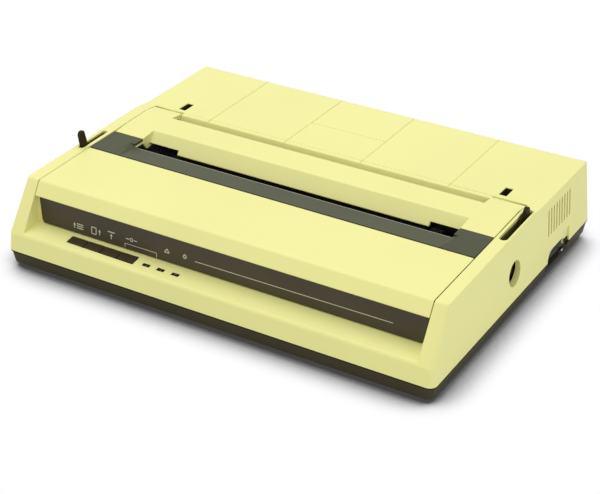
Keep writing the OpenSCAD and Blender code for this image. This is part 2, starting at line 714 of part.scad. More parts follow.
// A strip of even thickness t under the line from y0 to y1 given by two heights
function sheet(y0, z0, y1, z1, t) = [[y0, z0 - t], [y1, z1 - t], [y1, z1], [y0, z0]];

module tear_strip() {
    color(smoke) {
        along_x(-facet_x0, facet_x0) polygon(sheet(tear_y0, tear_z, tear_y1, mid_top(tear_y1), tear_t));
        both_sides() {
            along_x(facet_x1, lid_half - 0.1)
                polygon(sheet(tear_y0, tear_z, tear_y2, end_top(tear_y2), tear_t));
            along_x(middle_half, facet_x1)
                polygon(sheet(tear_y1, end_top(tear_y1), tear_y2, end_top(tear_y2), tear_t));
            hull() {
                along_x(facet_x0 - eps, facet_x0)
                    polygon(sheet(tear_y0, tear_z, tear_y1, mid_top(tear_y1), tear_t));
                along_x(facet_x1, facet_x1 + eps)
                    polygon(sheet(tear_y0, tear_z, tear_y1, end_top(tear_y1), tear_t));
            }
        }
    }
}

under = tear_t + 2.2;
// The lid's plate under a wide end of the tear strip
seat_t = 1.8;
seat_y = tear_y2 + skin;
tear_seat = sheet(tear_y0, end_top(tear_y0) - tear_t, seat_y, end_top(seat_y) - tear_t, seat_t);

module access_cover() {
    ledge_w = 5;
    face = skin * norm([1, front_lean]);
    lid_lip = [crease_y - (crease_z - lip_z) * front_lean, lip_z];
    q = inset([lid_lip, [tear_y0, lip_z], [tear_y0, tear_z], [crease_y, crease_z]], skin);
    front_shell = [lid_lip, [lid_lip[0] + face, lip_z], q[3],
        [tear_y0 - skin, top_at(tear_y0 - skin) - skin], [tear_y0 - skin, tear_z - under],
        [tear_y0 + ledge_w, mid_top(tear_y0 + ledge_w) - under],
        [tear_y0 + ledge_w, mid_top(tear_y0 + ledge_w) - tear_t], [tear_y0, tear_z - tear_t],
        [tear_y0, tear_z], [crease_y, crease_z]];
    bar_top = [bar_y, top_at(bar_y)];
    bar_lean = (bar_top[0] - bar_foot[0]) / (bar_top[1] - bar_foot[1]);
    b = inset([bar_foot, [crest_y, bar_foot[1]], [crest_y, crest_z], bar_top], skin);
    bar = [bar_foot, [bar_foot[0] + skin * norm([1, bar_lean]), bar_foot[1]], b[3], b[2],
        [crest_y - skin, bar_rear_low], [crest_y, bar_rear_low], [crest_y, crest_z], bar_top];
    end_block = [[tear_y2, end_top(tear_y2) - under], [tear_y2 + skin, end_top(tear_y2) - under],
        [bar_y, bar_top[1] - skin], [crest_y, crest_z - skin], [hinge_y - 2, hinge_z], [hinge_y, hinge_z],
        [hinge_y, hinge_z + hinge_r], [crest_y, crest_z], bar_top, [tear_y2, end_top(tear_y2)]];
    cheek = [[tear_y2, end_top(tear_y2) - under], [bar_foot[0] - 1, bar_foot[1]], [crest_y, bar_foot[1] + 2],
        [crest_y, crest_z - 1], [bar_y, bar_top[1] - 1], [tear_y2 + 1, end_top(tear_y2) - 1]];
    skirt_z = lip_z + 3.8;
    skirt = [[crease_y - 2.9, skirt_z], [hinge_y - 7, skirt_z], [hinge_y - 1.7, hinge_z - 2.6],
        [hinge_y, hinge_z + 2], [crest_y, crest_z - 1], [bar_y, bar_top[1] - 1],
        [tear_y2 + 1, end_top(tear_y2) - 1], [tear_y2 + 1, end_top(tear_y2) - under + 1],
        [tear_y0 - 1, tear_z - under + 1], [tear_y0 - 1, tear_z - 1], [crease_y + 1, crease_z - 1]];
    color(cream) difference() {
        union() {
            along_x(-lid_half, lid_half)
                polygon(rounded(front_shell, [0.7, 0.7, 1, 0, 0, 0, 0, 0, 0.4, 2.5]));
            along_x(-middle_half - 1, middle_half + 1)
                polygon(rounded(bar, [0.7, 0.7, 1, 1, 0, 0.7, 2, 1.2]));
            both_sides() {
                difference() {
                    along_x(middle_half, lid_half) polygon(tear_seat);
                    block([middle_half - 1, tear_y0 - 1, lip_z], [facet_x1 + 0.5, tear_y1 + 0.5, crest_z]);
                }
                along_x(middle_half, lid_half)
                    polygon(rounded(end_block, [0, 0, 1, 2, 0, 0, 0, 6, 1.2, 0.4]));
                rod_x(middle_half, lid_half, hinge_y, hinge_z, hinge_r);
                along_x(middle_half, middle_half + skin) polygon(cheek);
                along_x(lid_half - skin, lid_half) polygon(skirt);
                rod_x(lid_half - 1, bay_half + rail_wall - 0.2, hinge_y, hinge_z, hinge_pin_r);
            }
        }
        both_sides() block([bar_notch_x, bar_foot[0] - 5, bar_foot[1] - 5],
            [middle_half, bar_y - 2.5, bar_notch_z]);
    }
}

// ---- paper drive ---------------------------------------------------------------------------

frame_out = frame_half + frame_t;
gear_x0 = -frame_out - 7;
gear_x1 = gear_x0 + 5;
mesh_gap = 0.1;
idler_dir = -30;
pinion_dir = 15;
// Distance between the axes of two wheels with a and b teeth
function gear_room(a, b) = (a + b) * gear_m / 2 + mesh_gap;
idler_at = [platen_y, platen_z] + gear_room(platen_teeth, idler_teeth) * [cos(idler_dir), sin(idler_dir)];
pinion_at = idler_at + gear_room(idler_teeth, pinion_teeth) * [cos(pinion_dir), sin(pinion_dir)];
// Turns that mesh a tooth of one wheel with a gap of the next
idler_turn = idler_dir + 180 + 180 / idler_teeth;
idler_step = 360 / idler_teeth;
idler_phase = (pinion_dir - idler_turn) - idler_step * round((pinion_dir - idler_turn) / idler_step);
pinion_turn = pinion_dir + 180 + idler_phase * idler_teeth / pinion_teeth + 180 / pinion_teeth;
bush_r = 7;
tube_r = 9.4;
tube_x = slot_x + lever_t / 2 + 0.2;
press_y = 14;
press_z = 13.5;
press_rod_r = 2.5;
roller_r = 6;
roller_dir = -75;
roller_at = [platen_y, platen_z] + (platen_r + roller_r + 0.3) * [cos(roller_dir), sin(roller_dir)];

function teeth(n, turn) = [for (i = [0 : n - 1], k = [0 : 3])
    let (tip = k == 1 || k == 2, r = n * gear_m / 2 + (tip ? 0.8 : -1.05) * gear_m,
         half = (tip ? 0.375 : 0.95) * gear_m / r * 180 / PI,
             a = turn + 360 * i / n + (k < 2 ? -half : half))
    r * [cos(a), sin(a)]];
module gear(at, n, turn, bore) {
    translate([0, at[0], at[1]]) difference() {
        along_x(gear_x0, gear_x1) polygon(teeth(n, turn));
        rod_x(gear_x0 - 1, gear_x1 + 1, 0, 0, bore);
    }
}

module platen_shaft() {
    color(steel) difference() {
        rod_x(gear_x0 - 1, frame_out + 15.5, platen_y, platen_z, shaft_r);
        block([frame_out + 7, platen_y - shaft_r, platen_z + shaft_r - 1.5],
            [frame_out + 16, platen_y + shaft_r, platen_z + shaft_r + 1]);
    }
}
roller_half = pin_rows / 2 - 6.3;
module platen_roller() {
    color(black) difference() {
        rod_x(-roller_half, roller_half, platen_y, platen_z, platen_r);
        rod_x(-roller_half - 1, roller_half + 1, platen_y, platen_z, shaft_r);
    }
}
module pin_wheels() {
    wheel_low = roller_half + 1.5;
    color(ivory) difference() {
        both_sides() {
            rod_x(wheel_low, wheel_low + 10.5, platen_y, platen_z, platen_r);
            rod_x(wheel_low + 10, wheel_low + 16, platen_y, platen_z, shaft_r + 3);
            for (i = [0 : pin_count - 1]) translate([pin_rows / 2, platen_y, platen_z])
                rotate([360 * (i + 0.5) / pin_count, 0, 0]) {
                    cylinder(h = platen_r + 0.8, r = 2, $fn = 24);
                    translate([0, 0, platen_r + 0.8]) cylinder(h = 1.1, r1 = 2, r2 = 1.2, $fn = 24);
                }
        }
        rod_x(-half_w, half_w, platen_y, platen_z, shaft_r);
        both_sides() for (i = [0 : 3]) translate([wheel_low - 1, platen_y, platen_z])
            rotate([90 * i + 45, 0, 0])
            translate([0, 0, 10.5]) rotate([0, 90, 0]) cylinder(h = 13, r = 2.6, $fn = 24);
    }
}
module platen_gear() {
    color(ivory) difference() {
        gear([platen_y, platen_z], platen_teeth, idler_dir, shaft_r);
        for (i = [0 : 5]) translate([gear_x0 - 1, platen_y, platen_z]) rotate([60 * i, 0, 0])
            translate([0, 0, 13]) rotate([0, 90, 0]) cylinder(h = 7, r = 3.6, $fn = 32);
    }
}
module idler_gear() { color(ivory) gear(idler_at, idler_teeth, idler_turn, 2 + run_fit); }
module line_feed_pinion() {
    color(brass) {
        gear(pinion_at, pinion_teeth, pinion_turn, 1.4);
        rod_x(gear_x0, -frame_half + 3, pinion_at[0], pinion_at[1], 1.5);
    }
}
module line_feed_motor() {
    color(steel) difference() {
        union() {
            rod_x(-frame_half, -frame_half + 26, pinion_at[0], pinion_at[1], 13);
            rod_x(-frame_out, -frame_half + 1, pinion_at[0], pinion_at[1], 4.4);
        }
        rod_x(-frame_out - 1, -frame_half + 4, pinion_at[0], pinion_at[1], 1.5 + run_fit);
    }
}
module platen_bush() {
    color(ivory) difference() {
        union() {
            rod_x(-frame_out - 1.7, -frame_out, platen_y, platen_z, bush_r + 3);
            rod_x(-frame_out - 1, -frame_half + 2, platen_y, platen_z, bush_r);
        }
        rod_x(-frame_out - 3, -frame_half + 3, platen_y, platen_z, shaft_r + run_fit);
    }
}
module platen_bearing() {
    color(black) difference() {
        union() {
            rod_x(frame_half - 2, frame_out + 1, platen_y, platen_z, bush_r);
            rod_x(frame_out, frame_out + 2, platen_y, platen_z, 12);
            rod_x(frame_out + 1, tube_x, platen_y, platen_z, tube_r);
        }
        rod_x(frame_half - 3, tube_x, platen_y, platen_z, shaft_r + run_fit);
        rod_x(frame_out + 6.5, tube_x + 1, platen_y, platen_z, tube_r - 1.9);
    }
}
// The release lever turns on the bearing's tube; at rest it leans back
lever_x = slot_x - lever_t / 2;
release_lean = 42;
module release_lever() {
    color(dark) translate([0, platen_y, platen_z]) difference() {
        union() {
            rod_x(lever_x, lever_x + lever_t, 0, 0, tube_r + 4.6);
            rotate([-release_lean, 0, 0]) {
                block([lever_x, -3.4, 10], [lever_x + lever_t, 3.4, 46.6]);
                rod_x(lever_x, lever_x + lever_t, 0, 46.6, 3.4);
            }
        }
        rod_x(lever_x - 1, lever_x + lever_t + 1, 0, 0, tube_r + run_fit);
    }
}
module pressure_frame() {
    arm = roller_at - [press_y, press_z];
    color(steel) difference() {
        union() {
            rod_x(-frame_out, frame_out, press_y, press_z, press_rod_r);
            for (x = arm_x) {
                rod_x(x - 1.5, x + 1.5, press_y, press_z, 4);
                rod_x(x - 1.5, x + 1.5, roller_at[0], roller_at[1], 3.4);
                translate([x, press_y, press_z]) rotate([atan2(arm[1], arm[0]) - 90, 0, 0])
                    block([-1.5, -2.4, 0], [1.5, 2.4, norm(arm)]);
            }
        }
        for (x = arm_x) rod_x(x - 2, x + 2, roller_at[0], roller_at[1], 1.5 + run_fit);
    }
}
arm_x = [-100, -50, 0, 50, 100];
module pressure_rollers() {
    color(black) {
        rod_x(-102.5, 102.5, roller_at[0], roller_at[1], 1.5);
        for (x = [-75, -25, 25, 75]) rod_x(x - 15, x + 15, roller_at[0], roller_at[1], roller_r);
    }
}
// The guide leads paper from the rear slot round under the platen
module paper_guide() {
    r = platen_r + 2.73;
    t = 1.2;
    top = [31, deck_z - 8];
    mid = [platen_y, platen_z];
    away = top - mid;
    start = atan2(away[1], away[0]) - acos(r / norm(away));
    last = -48;
    arc = [for (i = [0 : 8]) start + (last - start) * i / 8];
    inner = [for (a = arc) mid + r * [cos(a), sin(a)]];
    outer = [for (i = [8 : -1 : 0]) mid + (r + t) * [cos(arc[i]), sin(arc[i])]];
    color(black) difference() {
        along_x(-frame_half, frame_half)
            polygon(concat([top], inner, outer, [top + t * [cos(start), sin(start)]]));
        for (i = [-6 : 5]) translate([20 * i + 10, 0, 0]) block([-0.6, 0, 36], [0.6, 40, 52]);
    }
}

// ---- frame ---------------------------------------------------------------------------------

module frame_plate() {
    color(steel) {
        difference() {
            block([-frame_half, frame_front, plate_low], [frame_half, frame_rear, plate_top]);
            for (f = [-0.6, -0.2, 0.2, 0.6]) translate([f * frame_half, platen_y, 0])
                block([-22, -32.5, plate_low - 1], [22, 7.5, plate_top + 1]);
            for (a = [-1, 1], y = frame_post_y) post(a * frame_post_x, y, plate_low - 1, plate_top + 1, 2);
        }
        post(-pulley_x, belt_y, plate_low + 0.5, plate_top + 1.3, 3.5);
        post(-pulley_x, belt_y, plate_low + 0.5, belt_top + 2.5, 2);
    }
}
module side_frame(tail) {
    outline = [[frame_front, plate_low], [tail, plate_low], [tail, 42], [12, 56], [-22, 56], [-44, 30],
        [frame_front, 24]];
    difference() {
        along_x(frame_half, frame_out) polygon(rounded(outline, [0, 0, 6, 6, 6, 12, 6]));
        rod_x(frame_half - 1, frame_out + 1, platen_y, platen_z, bush_r + run_fit);
        rod_x(frame_half - 1, frame_out + 1, guide_y, guide_z, guide_r + run_fit);
        rod_x(frame_half - 1, frame_out + 1, press_y, press_z, press_rod_r + run_fit);
    }
}
module side_frame_left() {
    color(steel) {
        difference() {
            mirror([1, 0, 0]) side_frame(52);
            rod_x(-frame_out - 1, -frame_half + 1, pinion_at[0], pinion_at[1], 4.5);
        }
        rod_x(gear_x0 - 0.5, -frame_half - 0.5, idler_at[0], idler_at[1], 2);
        rod_x(gear_x1 + 0.3, -frame_half - 0.5, idler_at[0], idler_at[1], 4);
    }
}
module side_frame_right() {
    color(steel) {
        side_frame(30);
        // Bracket that carries the carriage motor
        difference() {
            block([shelf_x, frame_front, motor_z - 1.3], [frame_half + 0.5, belt_y + 14, motor_z]);
            post(pulley_x, belt_y, motor_z - 3, motor_z + 1, 4.6);
        }
        block([shelf_x, frame_front, plate_top], [frame_half + 0.5, frame_front + 1.3, motor_z - 1]);
    }
}
module front_rail() {
    color(steel) {
        block([-rail_half, frame_front, plate_top], [rail_half, frame_front + 1.3, rail_top]);
        block([-rail_half, frame_front, rail_top - 1.3], [rail_half, belt_y - 6, rail_top]);
    }
}
rail_half = frame_half - 32;
shelf_x = rail_half + 2.5;
rail_top = 20.9;
motor_z = 20.5;

// ---- print carriage ------------------------------------------------------------------------

pulley_x = frame_half - 14;
pulley_r = 6;
belt_in = pulley_r + 0.35;
belt_t = 1.2;
belt_low = 11;
belt_top = 17;
module belt_ring(r, z0, z1) {
    for (a = [-1, 1]) translate([a * pulley_x, belt_y, z0]) cylinder(h = z1 - z0, r = r, $fn = 48);
    block([-pulley_x, belt_y - r, z0], [pulley_x, belt_y + r, z1]);
}
module drive_belt() {
    color(black) difference() {
        belt_ring(belt_in + belt_t, belt_low, belt_top);
        belt_ring(belt_in, belt_low - 1, belt_top + 1);
    }
}
module pulley(x) {
    post(x, belt_y, belt_low - 1.2, belt_top + 1.2, pulley_r);
    for (z = [belt_low - 1.2, belt_top + 0.4]) post(x, belt_y, z, z + 0.8, belt_in + belt_t + 0.6);
}
module motor_pulley() {
    color(brass) {
        pulley(pulley_x);
        post(pulley_x, belt_y, belt_low - 2, motor_z + 3, 1.5);
    }
}
module idler_pulley() {
    color(ivory) difference() {
        pulley(-pulley_x);
        post(-pulley_x, belt_y, belt_low - 3, belt_top + 3, 2 + run_fit);
    }
}
module carriage_motor() {
    color(steel) difference() {
        union() {
            post(pulley_x, belt_y, motor_z, motor_z + 29, 13.5);
            post(pulley_x, belt_y, motor_z - 1.3, motor_z + 1, 4.5);
        }
        post(pulley_x, belt_y, motor_z - 2, motor_z + 4, 1.5 + run_fit);
    }
}
module guide_shaft() {
    color(steel) rod_x(-slot_x - lever_t / 2 - 0.7, frame_out + 1.5, guide_y, guide_z, guide_r);
}
module head_gap_lever() {
    // Outline of the bent blade, from the shaft's axis
    blade = [[-3.4, 4], [3.4, 4], [5.2, 45], [4.9, 52.5], [2.2, 62.5], [1.6, 65], [-3.2, 65.2], [-4.2, 62],
        [-2.2, 52.5], [-2.4, 45]];
    color(dark) mirror([1, 0, 0]) translate([0, guide_y, guide_z]) difference() {
        union() {
            rod_x(lever_x, lever_x + lever_t, 0, 0, guide_r + 3.5);
            along_x(lever_x, lever_x + lever_t) polygon(rounded(blade, [0, 0, 6, 6, 1, 2, 2, 1.5, 6, 6]));
        }
        rod_x(lever_x - 1, lever_x + lever_t + 1, 0, 0, guide_r);
    }
}
bush_out = 6;
ribbon_z0 = 33;
ribbon_z1 = 41;
ribbon_y = platen_y - platen_r - 0.43;
cartridge_z0 = 50.8;
cartridge_z1 = 60.8;
knob_at = [28, -66];
module at_carriage() { translate([carriage_home, 0, 0]) children(); }
module carriage_frame() {
    color(black) at_carriage() difference() {
        union() {
            block([-24, guide_y - 25, 21.5], [24, guide_y + 13, 23.5]);
            block([-16, belt_y - 12, 21.5], [16, guide_y - 25, 23.5]);
            block([-10, belt_y - 12, rail_top + 0.1], [10, belt_y - 7, 22]);
            for (a = [-1, 1]) {
                block([a * 17 - 5, guide_y - 7, 9.5], [a * 17 + 5, guide_y + 7, 22]);
                block([a * 21.5 - 1.5, -64, 23], [a * 21.5 + 1.5, -50, cartridge_z0]);
            }
            block([-10, -60, 23], [10, -40, 32]);
            block([-8, belt_y + 3.5, belt_low - 0.8], [8, belt_y + 9, 22]);
        }
        rod_x(-30, 30, guide_y, guide_z, bush_out);
        rod_y(0, -61, -39, platen_z, head_r + run_fit);
        // Slit that grips the belt
        block([-9, belt_y + belt_in - 0.3, belt_low - 0.3],
            [9, belt_y + belt_in + belt_t + 0.3, belt_top + 0.3]);
    }
}
module carriage_bushes() {
    color(brass) at_carriage() for (a = [-1, 1]) difference() {
        rod_x(a * 17 - 5, a * 17 + 5, guide_y, guide_z, bush_out);
        rod_x(a * 17 - 6, a * 17 + 6, guide_y, guide_z, guide_r + run_fit);
    }
}
module print_head() {
    color(black) at_carriage() {
        rod_y(0, -66, -34, platen_z, head_r - 3);
        for (i = [0 : 7]) rod_y(0, -66 + 4.1 * i, -64 + 4.1 * i, platen_z, head_r);
        hull() {
            block([-8, -36, platen_z - 8], [8, -34, platen_z + 8]);
            block([-3, ribbon_y - 1.5, ribbon_z0 + 0.5], [3, ribbon_y - 0.3, ribbon_z1 - 0.5]);
        }
    }
}
module ribbon_cartridge() {
    arm = [[-44, cartridge_z1], [-44, cartridge_z0], [-34, 46], [-30, ribbon_z0], [-25.4, ribbon_z0],
        [-25.4, 44], [-29, 56], [-34, cartridge_z1]];
    color([0.13, 0.13, 0.13]) at_carriage() difference() {
        union() {
            translate([0, -62, cartridge_z0])
                rounded_slab(2 * cartridge_half, 40, cartridge_z1 - cartridge_z0, 4);
            for (a = [-16, 16]) along_x(a - 2, a + 2) polygon(arm);
        }
        post(knob_at[0], knob_at[1], cartridge_z0 + 2, cartridge_z1 + 1, 2.5 + run_fit);
    }
}
module ink_ribbon() {
    t = 0.3;
    y = ribbon_y;
    color([0.08, 0.08, 0.12]) at_carriage() translate([0, 0, ribbon_z0])
        linear_extrude(ribbon_z1 - ribbon_z0)
        polygon([[-18, -25.4], [-14, -25.4], [-3, y - t], [3, y - t], [14, -25.4], [18, -25.4], [18, -25.1],
            [14, -25.1], [3, y], [-3, y], [-14, -25.1], [-18, -25.1]]);
}
module ribbon_knob() {
    color([0.13, 0.13, 0.13]) at_carriage() {
        post(knob_at[0], knob_at[1], cartridge_z0 + 2.3, cartridge_z1 + 1, 2.5);
        difference() {
            post(knob_at[0], knob_at[1], cartridge_z1 + 0.1, cartridge_z1 + 2.6, 9);
            for (i = [0 : 11]) translate([knob_at[0], knob_at[1], cartridge_z1]) rotate([0, 0, 30 * i])
                translate([9.3, 0, 0.9]) cylinder(h = 3, r = 1, $fn = 16);
        }
    }
}

lower_case();
upper_case();
interface_cover();
rubber_feet();
case_screws();
control_strip();
indicator_lenses();
control_board();
panel_switches();
main_board();
board_chips();
heat_sink();
transformer_core();
transformer_coil();
mains_inlet();
parallel_connector();
power_switch_body();
frame_plate();
side_frame_left();
side_frame_right();
front_rail();
platen_bush();
platen_bearing();
paper_guide();
line_feed_motor();
carriage_motor();
drive_belt();
access_cover();
tear_strip();
platen_shaft();
platen_roller();
pin_wheels();
platen_gear();
idler_gear();
line_feed_pinion();
motor_pulley();
idler_pulley();
guide_shaft();
head_gap_lever();
release_lever();
pressure_frame();
pressure_rollers();
carriage_frame();
carriage_bushes();
print_head();
ribbon_cartridge();
ink_ribbon();
ribbon_knob();
line_feed_button();
form_feed_button();
page_top_button();
select_button();
power_rocker();
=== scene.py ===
import bpy
import bmesh
import json
import math
from mathutils import Matrix, Vector


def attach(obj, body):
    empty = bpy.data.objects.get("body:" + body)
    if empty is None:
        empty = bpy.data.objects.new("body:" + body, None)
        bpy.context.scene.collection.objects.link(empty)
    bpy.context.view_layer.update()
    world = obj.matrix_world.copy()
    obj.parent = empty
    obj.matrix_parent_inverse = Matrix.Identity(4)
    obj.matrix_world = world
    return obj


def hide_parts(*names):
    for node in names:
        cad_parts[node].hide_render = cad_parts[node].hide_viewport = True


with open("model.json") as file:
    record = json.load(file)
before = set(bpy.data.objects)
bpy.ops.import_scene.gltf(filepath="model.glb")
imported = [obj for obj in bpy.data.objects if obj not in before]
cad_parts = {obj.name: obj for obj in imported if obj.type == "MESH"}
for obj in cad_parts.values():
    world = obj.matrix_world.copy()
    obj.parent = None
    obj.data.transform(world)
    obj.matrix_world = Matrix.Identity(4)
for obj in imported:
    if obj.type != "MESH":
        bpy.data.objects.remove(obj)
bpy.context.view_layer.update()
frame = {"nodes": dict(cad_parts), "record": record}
nodes = frame["nodes"]
bodyOf = {node: body for body, group in frame["record"]["behaviour"]["bodies"].items() for node in group}
slotOf = {part["node"]: part["material_slot"] for part in frame["record"]["subparts"]}
mm = 0.001
bpy.context.scene.view_settings.view_transform = "Standard"

# the camera stands to the right of the front, well above the case
camera = {
    "place": (0.5331, -0.9155, 0.6119),
    "azimuth": 30.36,
    "elevation": 29.89,
    "roll": 0.5,
    "focalPixels": 1561.64,
    "imageWidth": 600,
    "sensor": 36.0,
}


def makeCamera(c):
    data = bpy.data.cameras.new("camera")
    data.sensor_width = c["sensor"]
    data.lens = c["focalPixels"] * c["sensor"] / c["imageWidth"]
    data.clip_end = 20
    obj = bpy.data.objects.new("camera", data)
    turn = (
        Matrix.Rotation(math.radians(c["azimuth"]), 4, "Z")
        @ Matrix.Rotation(math.radians(90 - c["elevation"]), 4, "X")
        @ Matrix.Rotation(math.radians(c["roll"]), 4, "Z")
    )
    obj.matrix_world = Matrix.Translation(c["place"]) @ turn
    bpy.context.scene.collection.objects.link(obj)
    bpy.context.scene.camera = obj


# a round soft light; a large one stands high above the left, a weak one at the right
lamps = {
    "keyLamp": {
        "place": (-0.45, -0.05, 2.2), "aim": (0, 0, 0), "size": 2.0, "watts": 25,
        "colour": (0.98, 0.99, 1.0)},
    "fillLamp": {
        "place": (2.0, -0.5, 1.0), "aim": (0, 0, 0.03), "size": 1.4, "watts": 6,
        "colour": (0.9, 0.93, 1.0)},
}


def addLamp(name, c):
    data = bpy.data.lights.new(name, "AREA")
    data.shape = "DISK"
    data.size = c["size"]
    data.energy = c["watts"]
    data.color = c["colour"]
    obj = bpy.data.objects.new(name, data)
    obj.location = c["place"]
    direction = Vector(c["aim"]) - Vector(c["place"])
    obj.rotation_euler = direction.to_track_quat("-Z", "Y").to_euler()
    bpy.context.scene.collection.objects.link(obj)


def emptyTree(owner):
    owner.use_nodes = True
    tree = owner.node_tree
    tree.nodes.clear()
    return tree


# 1 where the camera, a gloss or a glass looks at the background
def seenRay(tree):
    path = tree.nodes.new("ShaderNodeLightPath")
    value = path.outputs["Is Camera Ray"]
    for other in ("Is Glossy Ray", "Is Transmission Ray"):
        either = tree.nodes.new("ShaderNodeMath")
        either.operation = "MAXIMUM"
        tree.links.new(value, either.inputs[0])
        tree.links.new(path.outputs[other], either.inputs[1])
        value = either.outputs[0]
    return value


sky = {"strength": 0.6, "tint": (1, 0.99, 0.9)}


# white for the camera and in gloss and glass, a soft light for everything else
def makeWorld(c):
    world = bpy.data.worlds.new("studio")
    bpy.context.scene.world = world
    tree = emptyTree(world)
    out = tree.nodes.new("ShaderNodeOutputWorld")
    soft = tree.nodes.new("ShaderNodeBackground")
    soft.inputs["Strength"].default_value = c["strength"]
    soft.inputs["Color"].default_value = (*c["tint"], 1)
    seen = tree.nodes.new("ShaderNodeBackground")
    seen.inputs["Strength"].default_value = 1.0
    seen.inputs["Color"].default_value = (1, 1, 1, 1)
    mix = tree.nodes.new("ShaderNodeMixShader")
    tree.links.new(seenRay(tree), mix.inputs[0])
    tree.links.new(soft.outputs[0], mix.inputs[1])
    tree.links.new(seen.outputs[0], mix.inputs[2])
    tree.links.new(mix.outputs[0], out.inputs["Surface"])


# fade: how open a place is at the shadow's dark and light ends, then the light at each
floorLook = {
    "size": 6,
    "colour": (0.88, 0.88, 0.88),
    "reach": 0.037,
    "samples": 12,
    "fade": (0.46, 0.82, 0.06, 1.0),
}


# a table that reflects as a matt one and is seen as white with a soft shadow near the printer
def makeFloor(c):
    mesh = bpy.data.meshes.new("floor")
    bm = bmesh.new()
    bmesh.ops.create_grid(bm, x_segments=1, y_segments=1, size=c["size"])
    bm.to_mesh(mesh)
    bm.free()
    obj = bpy.data.objects.new("floor", mesh)
    bpy.context.scene.collection.objects.link(obj)
    material = bpy.data.materials.new("paleFloor")
    tree = emptyTree(material)
    out = tree.nodes.new("ShaderNodeOutputMaterial")
    table = tree.nodes.new("ShaderNodeBsdfDiffuse")
    table.inputs["Color"].default_value = (*c["colour"], 1)
    near = tree.nodes.new("ShaderNodeAmbientOcclusion")
    near.samples = c["samples"]
    near.inputs["Distance"].default_value = c["reach"]
    fade = tree.nodes.new("ShaderNodeMapRange")
    for socket, value in zip(fade.inputs[1:5], c["fade"]):
        socket.default_value = value
    tree.links.new(near.outputs["AO"], fade.inputs[0])
    seen = tree.nodes.new("ShaderNodeEmission")
    seen.inputs["Color"].default_value = (1, 1, 1, 1)
    tree.links.new(fade.outputs[0], seen.inputs["Strength"])
    mix = tree.nodes.new("ShaderNodeMixShader")
    tree.links.new(seenRay(tree), mix.inputs[0])
    tree.links.new(table.outputs[0], mix.inputs[1])
    tree.links.new(seen.outputs[0], mix.inputs[2])
    tree.links.new(mix.outputs[0], out.inputs["Surface"])
    obj.data.materials.append(material)


makeCamera(camera)
makeWorld(sky)
makeFloor(floorLook)
for name, c in lamps.items():
    addLamp(name, c)
print("camera, light and floor ready")


# a tree with Object coordinates and a Principled shader to build a finish on
class Finish:
    def __init__(self, name):
        self.material = bpy.data.materials.new(name)
        self.tree = emptyTree(self.material)
        self.out = self.add("ShaderNodeOutputMaterial")
        self.shader = self.add("ShaderNodeBsdfPrincipled")
        self.link(self.shader.outputs[0], self.out.inputs["Surface"])
        self.coords = self.add("ShaderNodeTexCoord").outputs["Object"]

    def add(self, kind, **values):
        node = self.tree.nodes.new(kind)
        for key, value in values.items():
            setattr(node, key, value)
        return node

    def link(self, start, end):
        self.tree.links.new(start, end)

    def set(self, **values):
        for key, value in values.items():
            socket = self.shader.inputs[key.replace("_", " ")]
            socket.default_value = (*value, 1) if isinstance(value, tuple) else value

    # noise on the piece, stretched by spread
    def noise(self, scale, detail=2, spread=(1, 1, 1)):
        mapping = self.add("ShaderNodeMapping")
        mapping.inputs["Scale"].default_value = spread
        self.link(self.coords, mapping.inputs["Vector"])
        texture = self.add("ShaderNodeTexNoise")
        texture.inputs["Scale"].default_value = scale
        texture.inputs["Detail"].default_value = detail
        self.link(mapping.outputs[0], texture.inputs["Vector"])
        return texture.outputs["Fac"]

    # a value that runs from low to high as the source runs from start to end
    def ranged(self, source, start, end, low, high):
        node = self.add("ShaderNodeMapRange")
        for socket, value in zip(node.inputs[1:5], (start, end, low, high)):
            socket.default_value = value
        self.link(source, node.inputs[0])
        return node.outputs[0]

    def mixed(self, factor, first, second):
        node = self.add("ShaderNodeMix", data_type="RGBA")
        for socket, value in ((node.inputs[6], first), (node.inputs[7], second)):
            if isinstance(value, tuple):
                socket.default_value = (*value, 1)
            else:
                self.link(value, socket)
        self.link(factor, node.inputs[0])
        return node.outputs[2]

    def colour(self, source):
        self.link(source, self.shader.inputs["Base Color"])

    def roughness(self, source):
        self.link(source, self.shader.inputs["Roughness"])

    def bump(self, source, height):
        node = self.add("ShaderNodeBump")
        node.inputs["Distance"].default_value = height
        node.inputs["Strength"].default_value = 1.0
        self.link(source, node.inputs["Height"])
        self.link(node.outputs[0], self.shader.inputs["Normal"])


cloudSpan = (0.35, 0.65)  # the part of a soft noise that is used
grainSpan = (0.3, 0.7)


# moulded plastic: a spark-eroded grain, a little cloudiness and an uneven sheen
def mouldedPlastic(name, c):
    f = Finish(name)
    cloud = f.noise(c["cloud"], 3)
    grain = f.noise(c["grain"], 2)
    base = c["colour"]
    shade = tuple(v * (1 - c["drift"]) for v in base)
    f.colour(f.mixed(f.ranged(cloud, *cloudSpan, 0, 1), shade, base))
    f.roughness(f.ranged(grain, *grainSpan, *c["rough"]))
    f.bump(grain, c["depth"])
    f.set(Specular_IOR_Level=c["gloss"])
    return f.material


stain = {"scale": 40, "dark": 0.82}  # cloudy patches on metal


# metal with fine marks drawn out along one direction
def drawnMetal(name, c):
    f = Finish(name)
    marks = f.noise(c["grain"], 3, c["spread"])
    patches = f.noise(stain["scale"], 2)
    dark = tuple(v * stain["dark"] for v in c["colour"])
    f.colour(f.mixed(f.ranged(patches, *grainSpan, 0, 1), dark, c["colour"]))
    f.roughness(f.ranged(marks, *grainSpan, *c["rough"]))
    f.bump(marks, c["depth"])
    f.set(Metallic=1.0)
    return f.material


